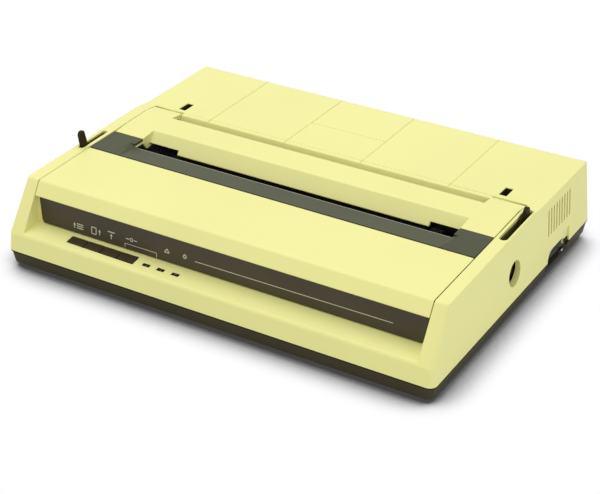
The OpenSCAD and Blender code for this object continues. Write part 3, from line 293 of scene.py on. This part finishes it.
# solder mask with copper tracks showing through; edge is where on the wave a track begins
def trackedBoard(name, c):
    f = Finish(name)
    wave = f.add("ShaderNodeTexWave", wave_type="BANDS", bands_direction="DIAGONAL")
    for key, value in (("Scale", c["pitch"]), ("Distortion", c["stray"]), ("Detail", 1.0)):
        wave.inputs[key].default_value = value
    f.link(f.coords, wave.inputs["Vector"])
    track = f.ranged(wave.outputs["Fac"], *c["edge"], 0, 1)
    f.colour(f.mixed(track, c["colour"], c["copper"]))
    f.roughness(f.ranged(f.noise(c["grain"]), *grainSpan, *c["rough"]))
    f.bump(track, c["depth"])
    return f.material


finishes = {
    "case_cream": mouldedPlastic("creamPlastic", {
        "colour": (0.875, 0.85, 0.35), "drift": 0.03, "cloud": 9, "grain": 2600, "depth": 0.00004,
        "rough": (0.42, 0.56), "gloss": 0.4}),
    "dark_plastic": mouldedPlastic("darkPlastic", {
        "colour": (0.056, 0.046, 0.016), "drift": 0.12, "cloud": 14, "grain": 2200, "depth": 0.00005,
        "rough": (0.42, 0.6), "gloss": 0.25}),
    "smoke_plastic": mouldedPlastic("smokedPlastic", {
        "colour": (0.072, 0.077, 0.041), "drift": 0.14, "cloud": 20, "grain": 3000, "depth": 0.00002,
        "rough": (0.36, 0.5), "gloss": 0.16}),
    "black_plastic": mouldedPlastic("blackPlastic", {
        "colour": (0.018, 0.018, 0.018), "drift": 0.2, "cloud": 20, "grain": 2400, "depth": 0.00004,
        "rough": (0.35, 0.5), "gloss": 0.45}),
    "ivory_plastic": mouldedPlastic("ivoryPlastic", {
        "colour": (0.76, 0.72, 0.6), "drift": 0.05, "cloud": 24, "grain": 2600, "depth": 0.00003,
        "rough": (0.3, 0.42), "gloss": 0.45}),
    "rubber": mouldedPlastic("blackRubber", {
        "colour": (0.016, 0.016, 0.016), "drift": 0.3, "cloud": 30, "grain": 3600, "depth": 0.00006,
        "rough": (0.7, 0.85), "gloss": 0.25}),
    "ribbon": mouldedPlastic("inkedFabric", {
        "colour": (0.012, 0.012, 0.02), "drift": 0.3, "cloud": 60, "grain": 4200, "depth": 0.00008,
        "rough": (0.6, 0.8), "gloss": 0.3}),
    "sheet_steel": drawnMetal("platedSteel", {
        "colour": (0.5, 0.51, 0.54), "grain": 900, "spread": (0.15, 1, 1), "depth": 0.00001,
        "rough": (0.3, 0.5)}),
    "ground_steel": drawnMetal("groundSteel", {
        "colour": (0.56, 0.57, 0.59), "grain": 2400, "spread": (1, 0.2, 0.2), "depth": 0.000008,
        "rough": (0.14, 0.26)}),
    "aluminium": drawnMetal("castAluminium", {
        "colour": (0.42, 0.43, 0.45), "grain": 1600, "spread": (1, 1, 1), "depth": 0.00002,
        "rough": (0.4, 0.6)}),
    "brass": drawnMetal("brass", {
        "colour": (0.58, 0.42, 0.16), "grain": 2000, "spread": (1, 0.3, 0.3), "depth": 0.00001,
        "rough": (0.22, 0.36)}),
    "circuit_board": trackedBoard("solderMask", {
        "colour": (0.015, 0.09, 0.035), "copper": (0.05, 0.19, 0.07), "pitch": 60, "stray": 14,
        "edge": (0.72, 0.8), "grain": 900, "depth": 0.00002, "rough": (0.25, 0.4)}),
    "copper_coil": mouldedPlastic("varnishedWire", {
        "colour": (0.3, 0.1, 0.03), "drift": 0.3, "cloud": 30, "grain": 900, "depth": 0.00008,
        "rough": (0.3, 0.45), "gloss": 0.5}),
    "red_lens": mouldedPlastic("redLens", {
        "colour": (0.014, 0.012, 0.006), "drift": 0.2, "cloud": 30, "grain": 900, "depth": 0.00001,
        "rough": (0.12, 0.2), "gloss": 0.5}),
}

# the same slots in other colours: painted shade for what lies in shadow, a painted highlight on the tear
# strip's rear edge, the marks and the smaller mouldings
shades = {
    "base": mouldedPlastic("basePlastic", {
        "colour": (0.048, 0.042, 0.019), "drift": 0.12, "cloud": 14, "grain": 2200, "depth": 0.00005,
        "rough": (0.45, 0.62), "gloss": 0.16}),
    "key": mouldedPlastic("keyPlastic", {
        "colour": (0.036, 0.026, 0.007), "drift": 0.15, "cloud": 30, "grain": 2600, "depth": 0.00004,
        "rough": (0.4, 0.55), "gloss": 0.25}),
    "strip": mouldedPlastic("stripPlastic", {
        "colour": (0.062, 0.05, 0.026), "drift": 0.14, "cloud": 22, "grain": 2400, "depth": 0.00004,
        "rough": (0.36, 0.5), "gloss": 0.3}),
    "lever": mouldedPlastic("leverPlastic", {
        "colour": (0.032, 0.022, 0.006), "drift": 0.15, "cloud": 30, "grain": 2600, "depth": 0.00005,
        "rough": (0.45, 0.6), "gloss": 0.1}),
    # painted shade: the dark of narrow joints where shadow falls
    "gap": mouldedPlastic("gapPaintedShade", {
        "colour": (0.014, 0.012, 0.003), "drift": 0.1, "cloud": 30, "grain": 2600, "depth": 0.00003,
        "rough": (0.6, 0.8), "gloss": 0.08}),
    # painted shade: the dark brown of shaded sockets and of what is seen through the knob's hole
    "pocket": mouldedPlastic("pocketPaintedShade", {
        "colour": (0.05, 0.036, 0.008), "drift": 0.1, "cloud": 30, "grain": 2600, "depth": 0.00003,
        "rough": (0.6, 0.8), "gloss": 0.1}),
    "mark": mouldedPlastic("markInk", {
        "colour": (0.62, 0.61, 0.48), "drift": 0.08, "cloud": 40, "grain": 3000, "depth": 0.00001,
        "rough": (0.5, 0.65), "gloss": 0.25}),
    # painted highlight: a light strip for the gleam along the tear strip's rear edge
    "tearHighlight": mouldedPlastic("tearHighlight", {
        "colour": (0.3, 0.31, 0.25), "drift": 0.08, "cloud": 40, "grain": 3000, "depth": 0.00001,
        "rough": (0.3, 0.4), "gloss": 0.4}),
    "lampCore": mouldedPlastic("lampCore", {
        "colour": (0.035, 0.05, 0.016), "drift": 0.1, "cloud": 40, "grain": 1200, "depth": 0.00001,
        "rough": (0.15, 0.25), "gloss": 0.5}),
    # painted shade: the olive of the levers' slots in shadow
    "paintedSlotShade": mouldedPlastic("slotPaintedShade", {
        "colour": (0.17, 0.15, 0.045), "drift": 0.1, "cloud": 30, "grain": 2600, "depth": 0.00003,
        "rough": (0.6, 0.8), "gloss": 0.1}),
    # painted shade: a darker cream for the narrow joint at the cover's left end
    "seam": mouldedPlastic("creamJointShade", {
        "colour": (0.6, 0.57, 0.2), "drift": 0.05, "cloud": 30, "grain": 2600, "depth": 0.00003,
        "rough": (0.5, 0.65), "gloss": 0.3}),
    "switch": mouldedPlastic("switchBlack", {
        "colour": (0.008, 0.008, 0.006), "drift": 0.2, "cloud": 30, "grain": 2400, "depth": 0.00003,
        "rough": (0.4, 0.55), "gloss": 0.12}),
    "rockerGrey": mouldedPlastic("rockerGrey", {
        "colour": (0.05, 0.054, 0.042), "drift": 0.15, "cloud": 30, "grain": 2400, "depth": 0.00003,
        "rough": (0.4, 0.55), "gloss": 0.2}),
    "white": mouldedPlastic("markWhite", {
        "colour": (0.8, 0.8, 0.76), "drift": 0.03, "cloud": 40, "grain": 3000, "depth": 0.00001,
        "rough": (0.4, 0.55), "gloss": 0.4}),
}


# how the mouldings' edges are rounded, in millimetres and degrees
edging = {
    "merge": 0.02,  # points nearer than this are one
    "cutMerge": 0.001,
    "flat": 0.4,  # faces that turn less than this are made one
    "sharp": 25,  # an edge that turns less than this isn't rounded
    "widest": 3.0,
    "share": 0.45,  # of the room beside an edge that a plain rounding may take
    "least": 0.05,  # a smaller rounding still shades as a sharp edge
    "segments": 3,
    "across": 0.5,  # sine of the angle past which a side lies across an edge
    "fold": 20,  # a flatter edge that leaves at under the grazing sine crowds an edge
    "graze": 0.34,
}


# how far an edge can be rounded: the shortest side that leaves it across a face
def roomAt(edge):
    room = math.inf
    along = (edge.verts[1].co - edge.verts[0].co).normalized()
    for face in edge.link_faces:
        for loop in face.loops:
            if loop.edge is not edge:
                continue
            for side in (loop.link_loop_next.edge, loop.link_loop_prev.edge):
                span = side.verts[1].co - side.verts[0].co
                if span.length and span.normalized().cross(along).length > edging["across"]:
                    room = min(room, span.length)
    return room


# true for an edge that a flat one leaves at a small angle, where a rounding would run astray
def crowded(edge):
    along = (edge.verts[1].co - edge.verts[0].co).normalized()
    for vert in edge.verts:
        for other in vert.link_edges:
            if other is edge or other.calc_face_angle(0) > math.radians(edging["fold"]):
                continue
            span = other.verts[1].co - other.verts[0].co
            if span.length and span.normalized().cross(along).length < edging["graze"]:
                return True
    return False


# a solid's mesh with its doubles merged, parted along the cuts, and its flat faces made whole
def cleanCopy(name, cuts):
    bm = bmesh.new()
    bm.from_mesh(nodes[name].data)
    bmesh.ops.remove_doubles(bm, verts=bm.verts, dist=edging["merge"] * mm)
    for axis, place in cuts:
        normal = Vector([float(axis == letter) for letter in "xyz"])
        everything = bm.verts[:] + bm.edges[:] + bm.faces[:]
        cut = bmesh.ops.bisect_plane(bm, geom=everything, dist=edging["cutMerge"] * mm,
                                     plane_co=normal * place * mm, plane_no=normal)["geom_cut"]
        for item in cut:
            if isinstance(item, bmesh.types.BMEdge):
                item.seam = True
    bmesh.ops.dissolve_limit(bm, angle_limit=math.radians(edging["flat"]), verts=bm.verts,
                             edges=bm.edges, delimit={"SEAM"})
    return bm


# writes how far each sharp edge is rounded: to radius, or to what wide gives for it,
# as far as there is room
def weighEdges(bm, radius, wide):
    weight = bm.edges.layers.float.new("bevel_weight_edge")
    for edge in bm.edges:
        if len(edge.link_faces) != 2 or edge.calc_face_angle(0) < math.radians(edging["sharp"]):
            continue
        wanted = wide(edge) if wide else None
        given = radius if wanted is None else wanted
        share = 1 if given > radius else edging["share"]
        given = 0 if crowded(edge) else min(given, share * roomAt(edge))
        edge[weight] = given / (edging["widest"] * mm)
        edge.smooth = given > edging["least"] * mm


# a bmesh as a linked object with one finish and smooth faces
def meshPiece(bm, name, finish):
    mesh = bpy.data.meshes.new(name)
    bm.to_mesh(mesh)
    bm.free()
    piece = bpy.data.objects.new(name, mesh)
    bpy.context.scene.collection.objects.link(piece)
    mesh.materials.append(finish)
    for polygon in mesh.polygons:
        polygon.use_smooth = True
    return piece


# a rounded copy of a node's solid, which then stands for the node; radius is in millimetres
def softened(name, radius, finish=None, slot=None, wide=None, reshape=None, cuts=()):
    bm = cleanCopy(name, cuts)
    if reshape:
        reshape(bm)
    weighEdges(bm, radius * mm, wide)
    slot = slot or slotOf[name]
    piece = meshPiece(bm, name + "Soft", finish or finishes[slot])
    bevel = piece.modifiers.new("rounding", "BEVEL")
    bevel.limit_method = "WEIGHT"
    bevel.width = edging["widest"] * mm
    bevel.segments = edging["segments"]
    bevel.use_clamp_overlap = False
    bevel.loop_slide = False
    flats = piece.modifiers.new("flats", "WEIGHTED_NORMAL")
    flats.keep_sharp = True
    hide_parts(name)
    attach(piece, bodyOf[name])


crease = 30  # degrees past which a new piece's edge is sharp
rimSegments = 2  # steps of a small rounded edge


# a bmesh as a finished new piece, its faces turned outwards
def finished(bm, name, body, finish):
    bmesh.ops.recalc_face_normals(bm, faces=bm.faces)
    piece = meshPiece(bm, name, finish)
    piece.data.set_sharp_from_angle(angle=math.radians(crease))
    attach(piece, body)


def roundEdges(bm, edges, radius):
    bmesh.ops.bevel(bm, geom=edges, offset=radius * mm, offset_type="OFFSET", affect="EDGES",
                    segments=rimSegments, profile=0.5, material=-1)


# a block between two corners in millimetres, its edges rounded
def addBlock(bm, low, high, radius=0.0, turn=None):
    made = bmesh.ops.create_cube(bm, size=1)["verts"]
    centre = [(a + b) / 2 * mm for a, b in zip(low, high)]
    bmesh.ops.scale(bm, vec=[(b - a) * mm for a, b in zip(low, high)], verts=made)
    bmesh.ops.translate(bm, vec=centre, verts=made)
    if turn is not None:
        bmesh.ops.transform(bm, matrix=turn, verts=made)
    if radius:
        roundEdges(bm, list({edge for vert in made for edge in vert.link_edges}), radius)


# faces drawn out along a direction in millimetres
def drawOut(bm, faces, along):
    drawn = bmesh.ops.extrude_face_region(bm, geom=faces)["geom"]
    ends = [item for item in drawn if isinstance(item, bmesh.types.BMVert)]
    bmesh.ops.translate(bm, vec=[v * mm for v in along], verts=ends)


# a flat outline of points in millimetres, drawn out along a direction
def addPrism(bm, outline, along):
    drawOut(bm, [bm.faces.new([bm.verts.new([v * mm for v in point]) for point in outline])], along)


# a round bar or disc at a centre along x or z, with a rounded rim; lean turns it about z
def addRound(bm, centre, axis, radius, length, segments=32, rim=0.0, lean=0.0):
    place = Matrix.Translation([v * mm for v in centre]) @ Matrix.Rotation(math.radians(lean), 4, "Z")
    if axis == "x":
        place = place @ Matrix.Rotation(math.radians(90), 4, "Y")
    made = bmesh.ops.create_cone(bm, cap_ends=True, segments=segments, radius1=radius * mm,
                                 radius2=radius * mm, depth=length * mm, matrix=place)["verts"]
    if rim:
        caps = {face for vert in made for face in vert.link_faces if len(face.verts) == segments}
        roundEdges(bm, list({edge for face in caps for edge in face.edges}), rim)


# the case's top along its depth: a long slope up to the crest, then a short one to the rear deck
caseTop = {
    "front": -112.5, "low": 67.2, "slope": 2.8 / 138.5, "crestAt": 26, "crest": 70, "fall": 2,
    "fallRun": 19}


def topAt(y):
    c = caseTop
    if y < c["crestAt"]:
        return c["low"] + c["slope"] * (y - c["front"])
    return c["crest"] - c["fall"] * min(1, (y - c["crestAt"]) / c["fallRun"])


# solids whose colour differs from their slot's; the platen bearing's dark brown is painted shade in the
# knob's hole
nodeShades = {
    "lower_case": "base",
    "head_gap_lever": "lever",
    "release_lever": "lever",
    "power_switch_body": "switch",
    "power_rocker": "rockerGrey",
    "platen_bearing": "pocket",
}
for name, obj in nodes.items():
    obj.data.materials.clear()
    obj.data.materials.append(shades[nodeShades[name]] if name in nodeShades else finishes[slotOf[name]])
print("finishes ready")

caseEdges = {"crown": 0.8, "ledge": 1.0, "rest": 0.5}
# the zones of the case that caseWide tells apart, in millimetres
caseZones = {
    "top": 66, "shoulder": 60, "wallTop": 65,
    "side": 179, "sideTop": 175, "wallHalf": 160,
    "rear": 133, "rearTop": 131, "front": -112, "wallFront": -128,
    "grooveFront": 38, "grooveHalf": 120,
    "ledgeFront": -131, "ledgeLow": 26, "ledgeHigh": 32,
}


# wider rounding along the case's outer top edge and its ledge, and none in its grooves and inside
def caseWide(edge):
    zone = {key: value * mm for key, value in caseZones.items()}
    first, second = (face.normal for face in edge.link_faces)
    x, y, z = (edge.verts[0].co + edge.verts[1].co) / 2
    half = abs(x)
    if z > zone["top"] and y > zone["grooveFront"] and half < zone["grooveHalf"]:
        if max(abs(first.x), abs(second.x)) > 0.99:
            return 0
    skin = z > zone["top"] or half > zone["side"] or y > zone["rear"] or y < zone["front"]
    inner = z < zone["wallTop"] and zone["wallFront"] < y < zone["rear"] and half < zone["wallHalf"]
    if inner or not skin:
        return 0
    outside = (half > zone["sideTop"] or y > zone["rearTop"]) and z > zone["shoulder"]
    if outside and first.z + second.z > 0.2 and first.x * x + second.x * x > -0.001:
        return caseEdges["crown"] * mm
    facesForward = first.y < 0.1 and second.y < 0.1
    if y < zone["ledgeFront"] and zone["ledgeLow"] < z < zone["ledgeHigh"] and facesForward:
        return caseEdges["ledge"] * mm
    return None


knobHole = {"centre": (-5.5, 37.2), "drawn": 10.0, "solid": 11.8, "rim": 0.7, "wallFrom": 168}


# the platen knob's hole is drawn in to the size that is seen
def caseReshape(bm):
    c = knobHole
    centreY, centreZ = (v * mm for v in c["centre"])
    ratio = c["drawn"] / c["solid"]
    for vert in bm.verts:
        reach = math.hypot(vert.co.y - centreY, vert.co.z - centreZ)
        if vert.co.x > c["wallFrom"] * mm and reach < (c["solid"] + c["rim"]) * mm:
            vert.co.y = centreY + (vert.co.y - centreY) * ratio
            vert.co.z = centreZ + (vert.co.z - centreZ) * ratio


coverCrisp = {"endWall": 139, "near": 0.02, "hingeFrom": 24, "hingeHalf": 165}


# the cover's inner end walls and its hinge stay crisp
def coverWide(edge):
    c = coverCrisp
    middle = (edge.verts[0].co + edge.verts[1].co) / 2
    inEnd = all(abs(abs(vert.co.x) - c["endWall"] * mm) < c["near"] * mm for vert in edge.verts)
    inHinge = middle.y > c["hingeFrom"] * mm and abs(middle.x) > c["hingeHalf"] * mm
    return 0 if inEnd or inHinge else None


baseSkin = (178.5, 135.5)


# only the outside of the base is rounded
def baseWide(edge):
    middle = (edge.verts[0].co + edge.verts[1].co) / 2
    return None if abs(middle.x) > baseSkin[0] * mm or abs(middle.y) > baseSkin[1] * mm else 0


corner = {"key": 1.2, "lens": 0.8, "upright": 0.8}


def isUpright(edge):
    span = edge.verts[1].co - edge.verts[0].co
    return span.length and abs(span.normalized().z) > corner["upright"]


# keys and lenses have rounded corners in plan
def keyWide(edge):
    return corner["key"] * mm if isUpright(edge) else None


def lensWide(edge):
    return corner["lens"] * mm if isUpright(edge) else None


# planes that pass through a moulding's openings, so that no face goes round one
caseCuts = [
    ("x", 144), ("x", -144), ("x", 0), ("y", -126.1), ("y", -5.5), ("y", -37.5), ("z", 48.5), ("z", 24)]
mouldings = {
    "upper_case": {"radius": caseEdges["rest"], "wide": caseWide, "reshape": caseReshape, "cuts": caseCuts},
    "access_cover": {"radius": 0.5, "wide": coverWide, "cuts": [("x", 0)]},
    "lower_case": {"radius": 0.6, "finish": shades["base"], "wide": baseWide},
    "interface_cover": {"radius": 0.35},
    "tear_strip": {"radius": 0.25},
    "head_gap_lever": {"radius": 0.6, "finish": shades["lever"]},
    "release_lever": {"radius": 0.6, "finish": shades["lever"]},
    # the pin wheels are made black: painted shade where they show in the dark paper slot
    "pin_wheels": {"radius": 0.4, "slot": "black_plastic"},
    "indicator_lenses": {"radius": 0.35, "wide": lensWide},
    "power_rocker": {"radius": 0.6, "finish": shades["rockerGrey"]},
    "power_switch_body": {"radius": 0.5, "finish": shades["switch"]},
    "ribbon_cartridge": {"radius": 0.6},
    "control_strip": {"radius": 0.2, "finish": shades["strip"]},
}
for key in ("line_feed", "form_feed", "page_top", "select"):
    mouldings[key + "_button"] = {"radius": 0.4, "finish": shades["key"], "wide": keyWide}
for name, c in mouldings.items():
    softened(name, **c)
print("mouldings rounded")

# a dark band in the split between case and base: painted shade in the joint
parting = {
    "x": 180.8, "y": 137.8, "low": 14.2, "high": 15.1, "wall": 1.6, "front": 5.8, "rear": 1.8,
    "steps": 8}
c = parting
bm = bmesh.new()
corners = [(-c["x"], -c["y"]), (c["x"], -c["y"]), (c["x"], c["y"]), (-c["x"], c["y"])]
bm.faces.new([bm.verts.new((x * mm, y * mm, c["low"] * mm)) for x, y in corners])
for side, radius in ((-1, c["front"]), (1, c["rear"])):
    picked = [vert for vert in bm.verts if vert.co.y * side > (c["y"] - 0.01) * mm]
    bmesh.ops.bevel(bm, geom=picked, offset=radius * mm, offset_type="OFFSET", affect="VERTICES",
                    segments=c["steps"], profile=0.5, material=-1)
rim = bmesh.ops.inset_individual(bm, faces=bm.faces[:], thickness=c["wall"] * mm)["faces"]
bmesh.ops.delete(bm, geom=[face for face in bm.faces if face not in rim], context="FACES")
drawOut(bm, bm.faces[:], (0, 0, c["high"] - c["low"]))
finished(bm, "partingShade", "case", shades["gap"])

# a dark sheet in the joint at the cover's right end: painted shade deep in the gap
endShade = {"x": 165.8, "thick": 0.2, "front": -112.0, "rear": 39.5, "low": 58.0, "drop": 0.7, "rearDrop": 1.5}
c = endShade
bm = bmesh.new()
addPrism(bm, [
    (c["x"], c["front"], c["low"]),
    (c["x"], c["rear"], c["low"]),
    (c["x"], c["rear"], topAt(c["rear"]) - c["drop"] - c["rearDrop"]),
    (c["x"], caseTop["crestAt"], caseTop["crest"] - c["drop"]),
    (c["x"], c["front"], topAt(c["front"]) - c["drop"]),
], (c["thick"], 0, 0))
finished(bm, "coverEndShade", "lid", shades["gap"])

# lines along the tear strip: a dark line in the joint at its front, painted shade, and a light line at its
# rear edge, a painted highlight
stripLines = {
    "tearSeam": {
        "half": 165.6, "slot": "rubber", "shade": "gap",
        "outline": [(-50.7, 68.518), (-49.4, 68.518), (-49.4, 67.818), (-50.7, 67.818)]},
    "tearRearEdge": {
        "half": 136.8, "slot": "smoke_plastic", "shade": "tearHighlight",
        "outline": [(-27.7, 65.42), (-26.95, 65.33), (-26.95, 64.2), (-27.7, 64.4)]},
}
for name, c in stripLines.items():
    bm = bmesh.new()
    addPrism(bm, [(-c["half"], y, z) for y, z in c["outline"]], (2 * c["half"], 0, 0))
    finished(bm, name, "lid", shades[c["shade"]])

shadeSheetThick = 0.25
# dark sheets in the levers' slots and in the two rear sockets: painted shade in their depths
wells = {
    "right": {"x": (169.0, 175.2), "y": (-18.0, 33.5), "z": (44.0, 67.0), "shade": "paintedSlotShade"},
    "left": {"x": (-173.9, -169.7), "y": (-54.5, -20.5), "z": (44.0, 67.2), "shade": "paintedSlotShade"},
    "socketRight": {"x": (141.0, 147.0), "y": (45.65, 59.15), "z": (52.0, 67.2), "shade": "pocket"},
    "socketLeft": {"x": (-147.0, -141.0), "y": (45.65, 59.15), "z": (52.0, 67.2), "shade": "pocket"},
}
for name, c in wells.items():
    (x0, x1), (y0, y1), (low, high) = c["x"], c["y"], c["z"]
    bm = bmesh.new()
    addBlock(bm, (x0, y0, low), (x0 + shadeSheetThick, y1, high))
    addBlock(bm, (x1 - shadeSheetThick, y0, low), (x1, y1, high))
    addBlock(bm, (x0 + shadeSheetThick, y0, low), (x1 - shadeSheetThick, y0 + shadeSheetThick, high))
    addBlock(bm, (x0 + shadeSheetThick, y1 - shadeSheetThick, low), (x1 - shadeSheetThick, y1, high))
    finished(bm, name + "ShadeSheet", "case", shades[c["shade"]])

# a lip that nearly closes the joint at the cover's left end, in a darker cream: painted shade in the joint
jointLip = {"x": -166.5, "thick": 0.36, "front": -112.0, "rear": -58.0, "deep": 3.0, "drop": 0.35}
c = jointLip
bm = bmesh.new()
ends = ((c["front"], c["deep"]), (c["rear"], c["deep"]), (c["rear"], c["drop"]), (c["front"], c["drop"]))
addPrism(bm, [(c["x"], y, topAt(y) - below) for y, below in ends], (c["thick"], 0, 0))
finished(bm, "leftJointLip", "case", shades["seam"])
print("joints and linings made")

stripFace = {"foot": (-116.8, 33.1), "lean": 1.6 / 22.4, "proud": 0.06, "sunk": 0.1}


# a point on the control strip's face, a little inside it
def onStrip(x, z):
    c = stripFace
    return (x, c["foot"][0] + (z - c["foot"][1]) * c["lean"] + c["sunk"], z)


# a thin plain mark on the strip
def addMark(bm, outline):
    addPrism(bm, [onStrip(x, z) for x, z in outline], (0, -(stripFace["proud"] + stripFace["sunk"]), 0))


def addBar(bm, x0, z0, x1, z1, wide):
    dx, dz = x1 - x0, z1 - z0
    span = math.hypot(dx, dz)
    sx, sz = -dz / span * wide / 2, dx / span * wide / 2
    addMark(bm, [(x0 - sx, z0 - sz), (x1 - sx, z1 - sz), (x1 + sx, z1 + sz), (x0 + sx, z0 + sz)])


arrow = {"height": 4.6, "wide": 0.75, "half": 1.1, "shaft": 0.1, "head": 0.05}


# an arrow that points up; its shaft ends a little inside its head
def addArrow(bm, x, z):
    c = arrow
    addBar(bm, x, z - c["height"] / 2, x, z + c["height"] * c["shaft"], c["wide"])
    root = z + c["height"] * c["head"]
    addMark(bm, [(x - c["half"], root), (x + c["half"], root), (x, z + c["height"] / 2)])


ringMark = {"wide": 0.7, "sides": 20, "lap": 1.04}


def addRingMark(bm, x, z, radius):
    c = ringMark
    for i in range(c["sides"]):
        a, b = (2 * math.pi * (i + k) / c["sides"] for k in (0, c["lap"]))
        inner = radius - c["wide"]
        addMark(bm, [(x + r * math.cos(t), z + r * math.sin(t)) for r, t in
                     ((radius, a), (radius, b), (inner, b), (inner, a))])


# plain signs in place of words, in millimetres across and up the strip; a stroke has its
# width and the points that it joins
signs = {
    "arrows": [(-131.6, 39.9), (-108.2, 40.2), (-97.4, 39.9)],
    "rings": [(-79.0, 42.3, 1.6), (-31.6, 42.5, 1.7)],
    "strokes": [
        (0.75, [(-129.4, 38.2), (-123.4, 38.2)]),  # feed a line
        (0.75, [(-129.4, 39.9), (-123.4, 39.9)]),
        (0.75, [(-129.4, 41.6), (-123.4, 41.6)]),
        # feed a page
        (0.7, [(-115.6, 37.5), (-115.6, 42.9), (-111.4, 42.9), (-111.4, 37.5), (-115.6, 37.5)]),
        (0.8, [(-100.6, 43.4), (-94.2, 43.4)]),  # top of page
        (0.7, [(-84.0, 42.3), (-81.2, 42.3)]),  # ready
        (0.7, [(-76.8, 42.3), (-74.0, 42.3)]),
        (0.45, [(-84.9, 38.1), (-56.5, 38.1)]),  # from the key to its lamp
        (0.45, [(-84.9, 38.1), (-84.9, 34.8)]),
        (0.45, [(-56.5, 38.1), (-56.5, 34.4)]),
        (0.7, [(-49.4, 41.2), (-45.2, 41.2), (-47.3, 44.2), (-49.4, 41.2)]),  # warning
        (0.55, [(-31.6, 42.6), (-31.6, 44.6)]),  # power
        (0.5, [(-22.7, 41.2), (138.2, 42.1)]),  # the long rule
    ],
}
bm = bmesh.new()
for place in signs["arrows"]:
    addArrow(bm, *place)
for place in signs["rings"]:
    addRingMark(bm, *place)
for wide, points in signs["strokes"]:
    for start, end in zip(points, points[1:]):
        addBar(bm, *start, *end, wide)
finished(bm, "stripMarks", "case", shades["mark"])
print("signs made")

# the white dot and its dark ring on the rocker's raised end
dot = {"centre": (179.66, 86.6, 11.95), "thick": 0.3, "lean": -13.4}
dotDiscs = {
    "rockerRing": {"out": 0, "radius": 1.55, "rim": 0.1, "shade": "switch"},
    "rockerDot": {"out": 0.12, "radius": 1.0, "rim": 0.08, "shade": "white"},
}
for name, c in dotDiscs.items():
    x, y, z = dot["centre"]
    bm = bmesh.new()
    addRound(bm, (x + c["out"], y, z), "x", c["radius"], dot["thick"], rim=c["rim"], lean=dot["lean"])
    finished(bm, name, "rocker", shades[c["shade"]])

# a cap with a small boss on the platen shaft's end, seen through the knob's hole; its dark brown is painted
# shade
capCentre = knobHole["centre"]
capDiscs = [
    {"x": 165.25, "radius": 3.9, "thick": 0.8, "segments": 32, "rim": 0.25},
    {"x": 165.65, "radius": 1.2, "thick": 0.5, "segments": 20, "rim": 0.1},
]
bm = bmesh.new()
for c in capDiscs:
    addRound(bm, (c["x"], *capCentre), "x", c["radius"], c["thick"],
             segments=c["segments"], rim=c["rim"])
finished(bm, "shaftCap", "platen", shades["pocket"])

# ribs across the grips of the two levers
rib = {"count": 6, "radius": 0.42, "long": 2.2, "segments": 12, "rim": 0.12}
gripRibs = {
    "left": {"body": "head_gap", "x": -171.8, "from": (-53.6, 70.5), "to": (-54.9, 79.0)},
    "right": {"body": "paper_release", "x": 171.8, "from": (15.4, 67.2), "to": (21.6, 73.9)},
}
for side, c in gripRibs.items():
    bm = bmesh.new()
    for i in range(rib["count"]):
        y, z = (a + (b - a) * i / (rib["count"] - 1) for a, b in zip(c["from"], c["to"]))
        addRound(bm, (c["x"], y, z), "x", rib["radius"], rib["long"],
                 segments=rib["segments"], rim=rib["rim"])
    finished(bm, side + "GripRibs", c["body"], shades["lever"])

# ribs round the ribbon knob's rim
knobGrips = {
    "centre": (-68.0, -66.0), "reach": 8.55, "low": 60.9, "high": 63.2, "count": 18,
    "radius": 0.55, "segments": 10}
c = knobGrips
bm = bmesh.new()
for i in range(c["count"]):
    turn = 2 * math.pi * i / c["count"]
    place = (c["centre"][0] + c["reach"] * math.cos(turn), c["centre"][1] + c["reach"] * math.sin(turn),
             (c["low"] + c["high"]) / 2)
    addRound(bm, place, "z", c["radius"], c["high"] - c["low"], segments=c["segments"])
finished(bm, "knobGrips", "ribbon_drive_knob", finishes["black_plastic"])

# the lamps behind the indicators' lenses
lampCores = {
    "x": (-59.2, -46.4, -33.6), "y": -126.1, "top": 31.83, "tilt": 8.02,
    "half": (1.3, 0.75), "deep": 0.4, "proud": 0.03, "round": 0.35}
c = lampCores
halfX, halfY = c["half"]
bm = bmesh.new()
for x in c["x"]:
    centre = Vector((x, c["y"], c["top"])) * mm
    turn = Matrix.Translation(centre) @ Matrix.Rotation(math.radians(c["tilt"]), 4, "X")
    addBlock(bm, (-halfX, -halfY, -c["deep"]), (halfX, halfY, c["proud"]), c["round"], turn)
finished(bm, "lampCores", "case", shades["lampCore"])
print("small fittings made")
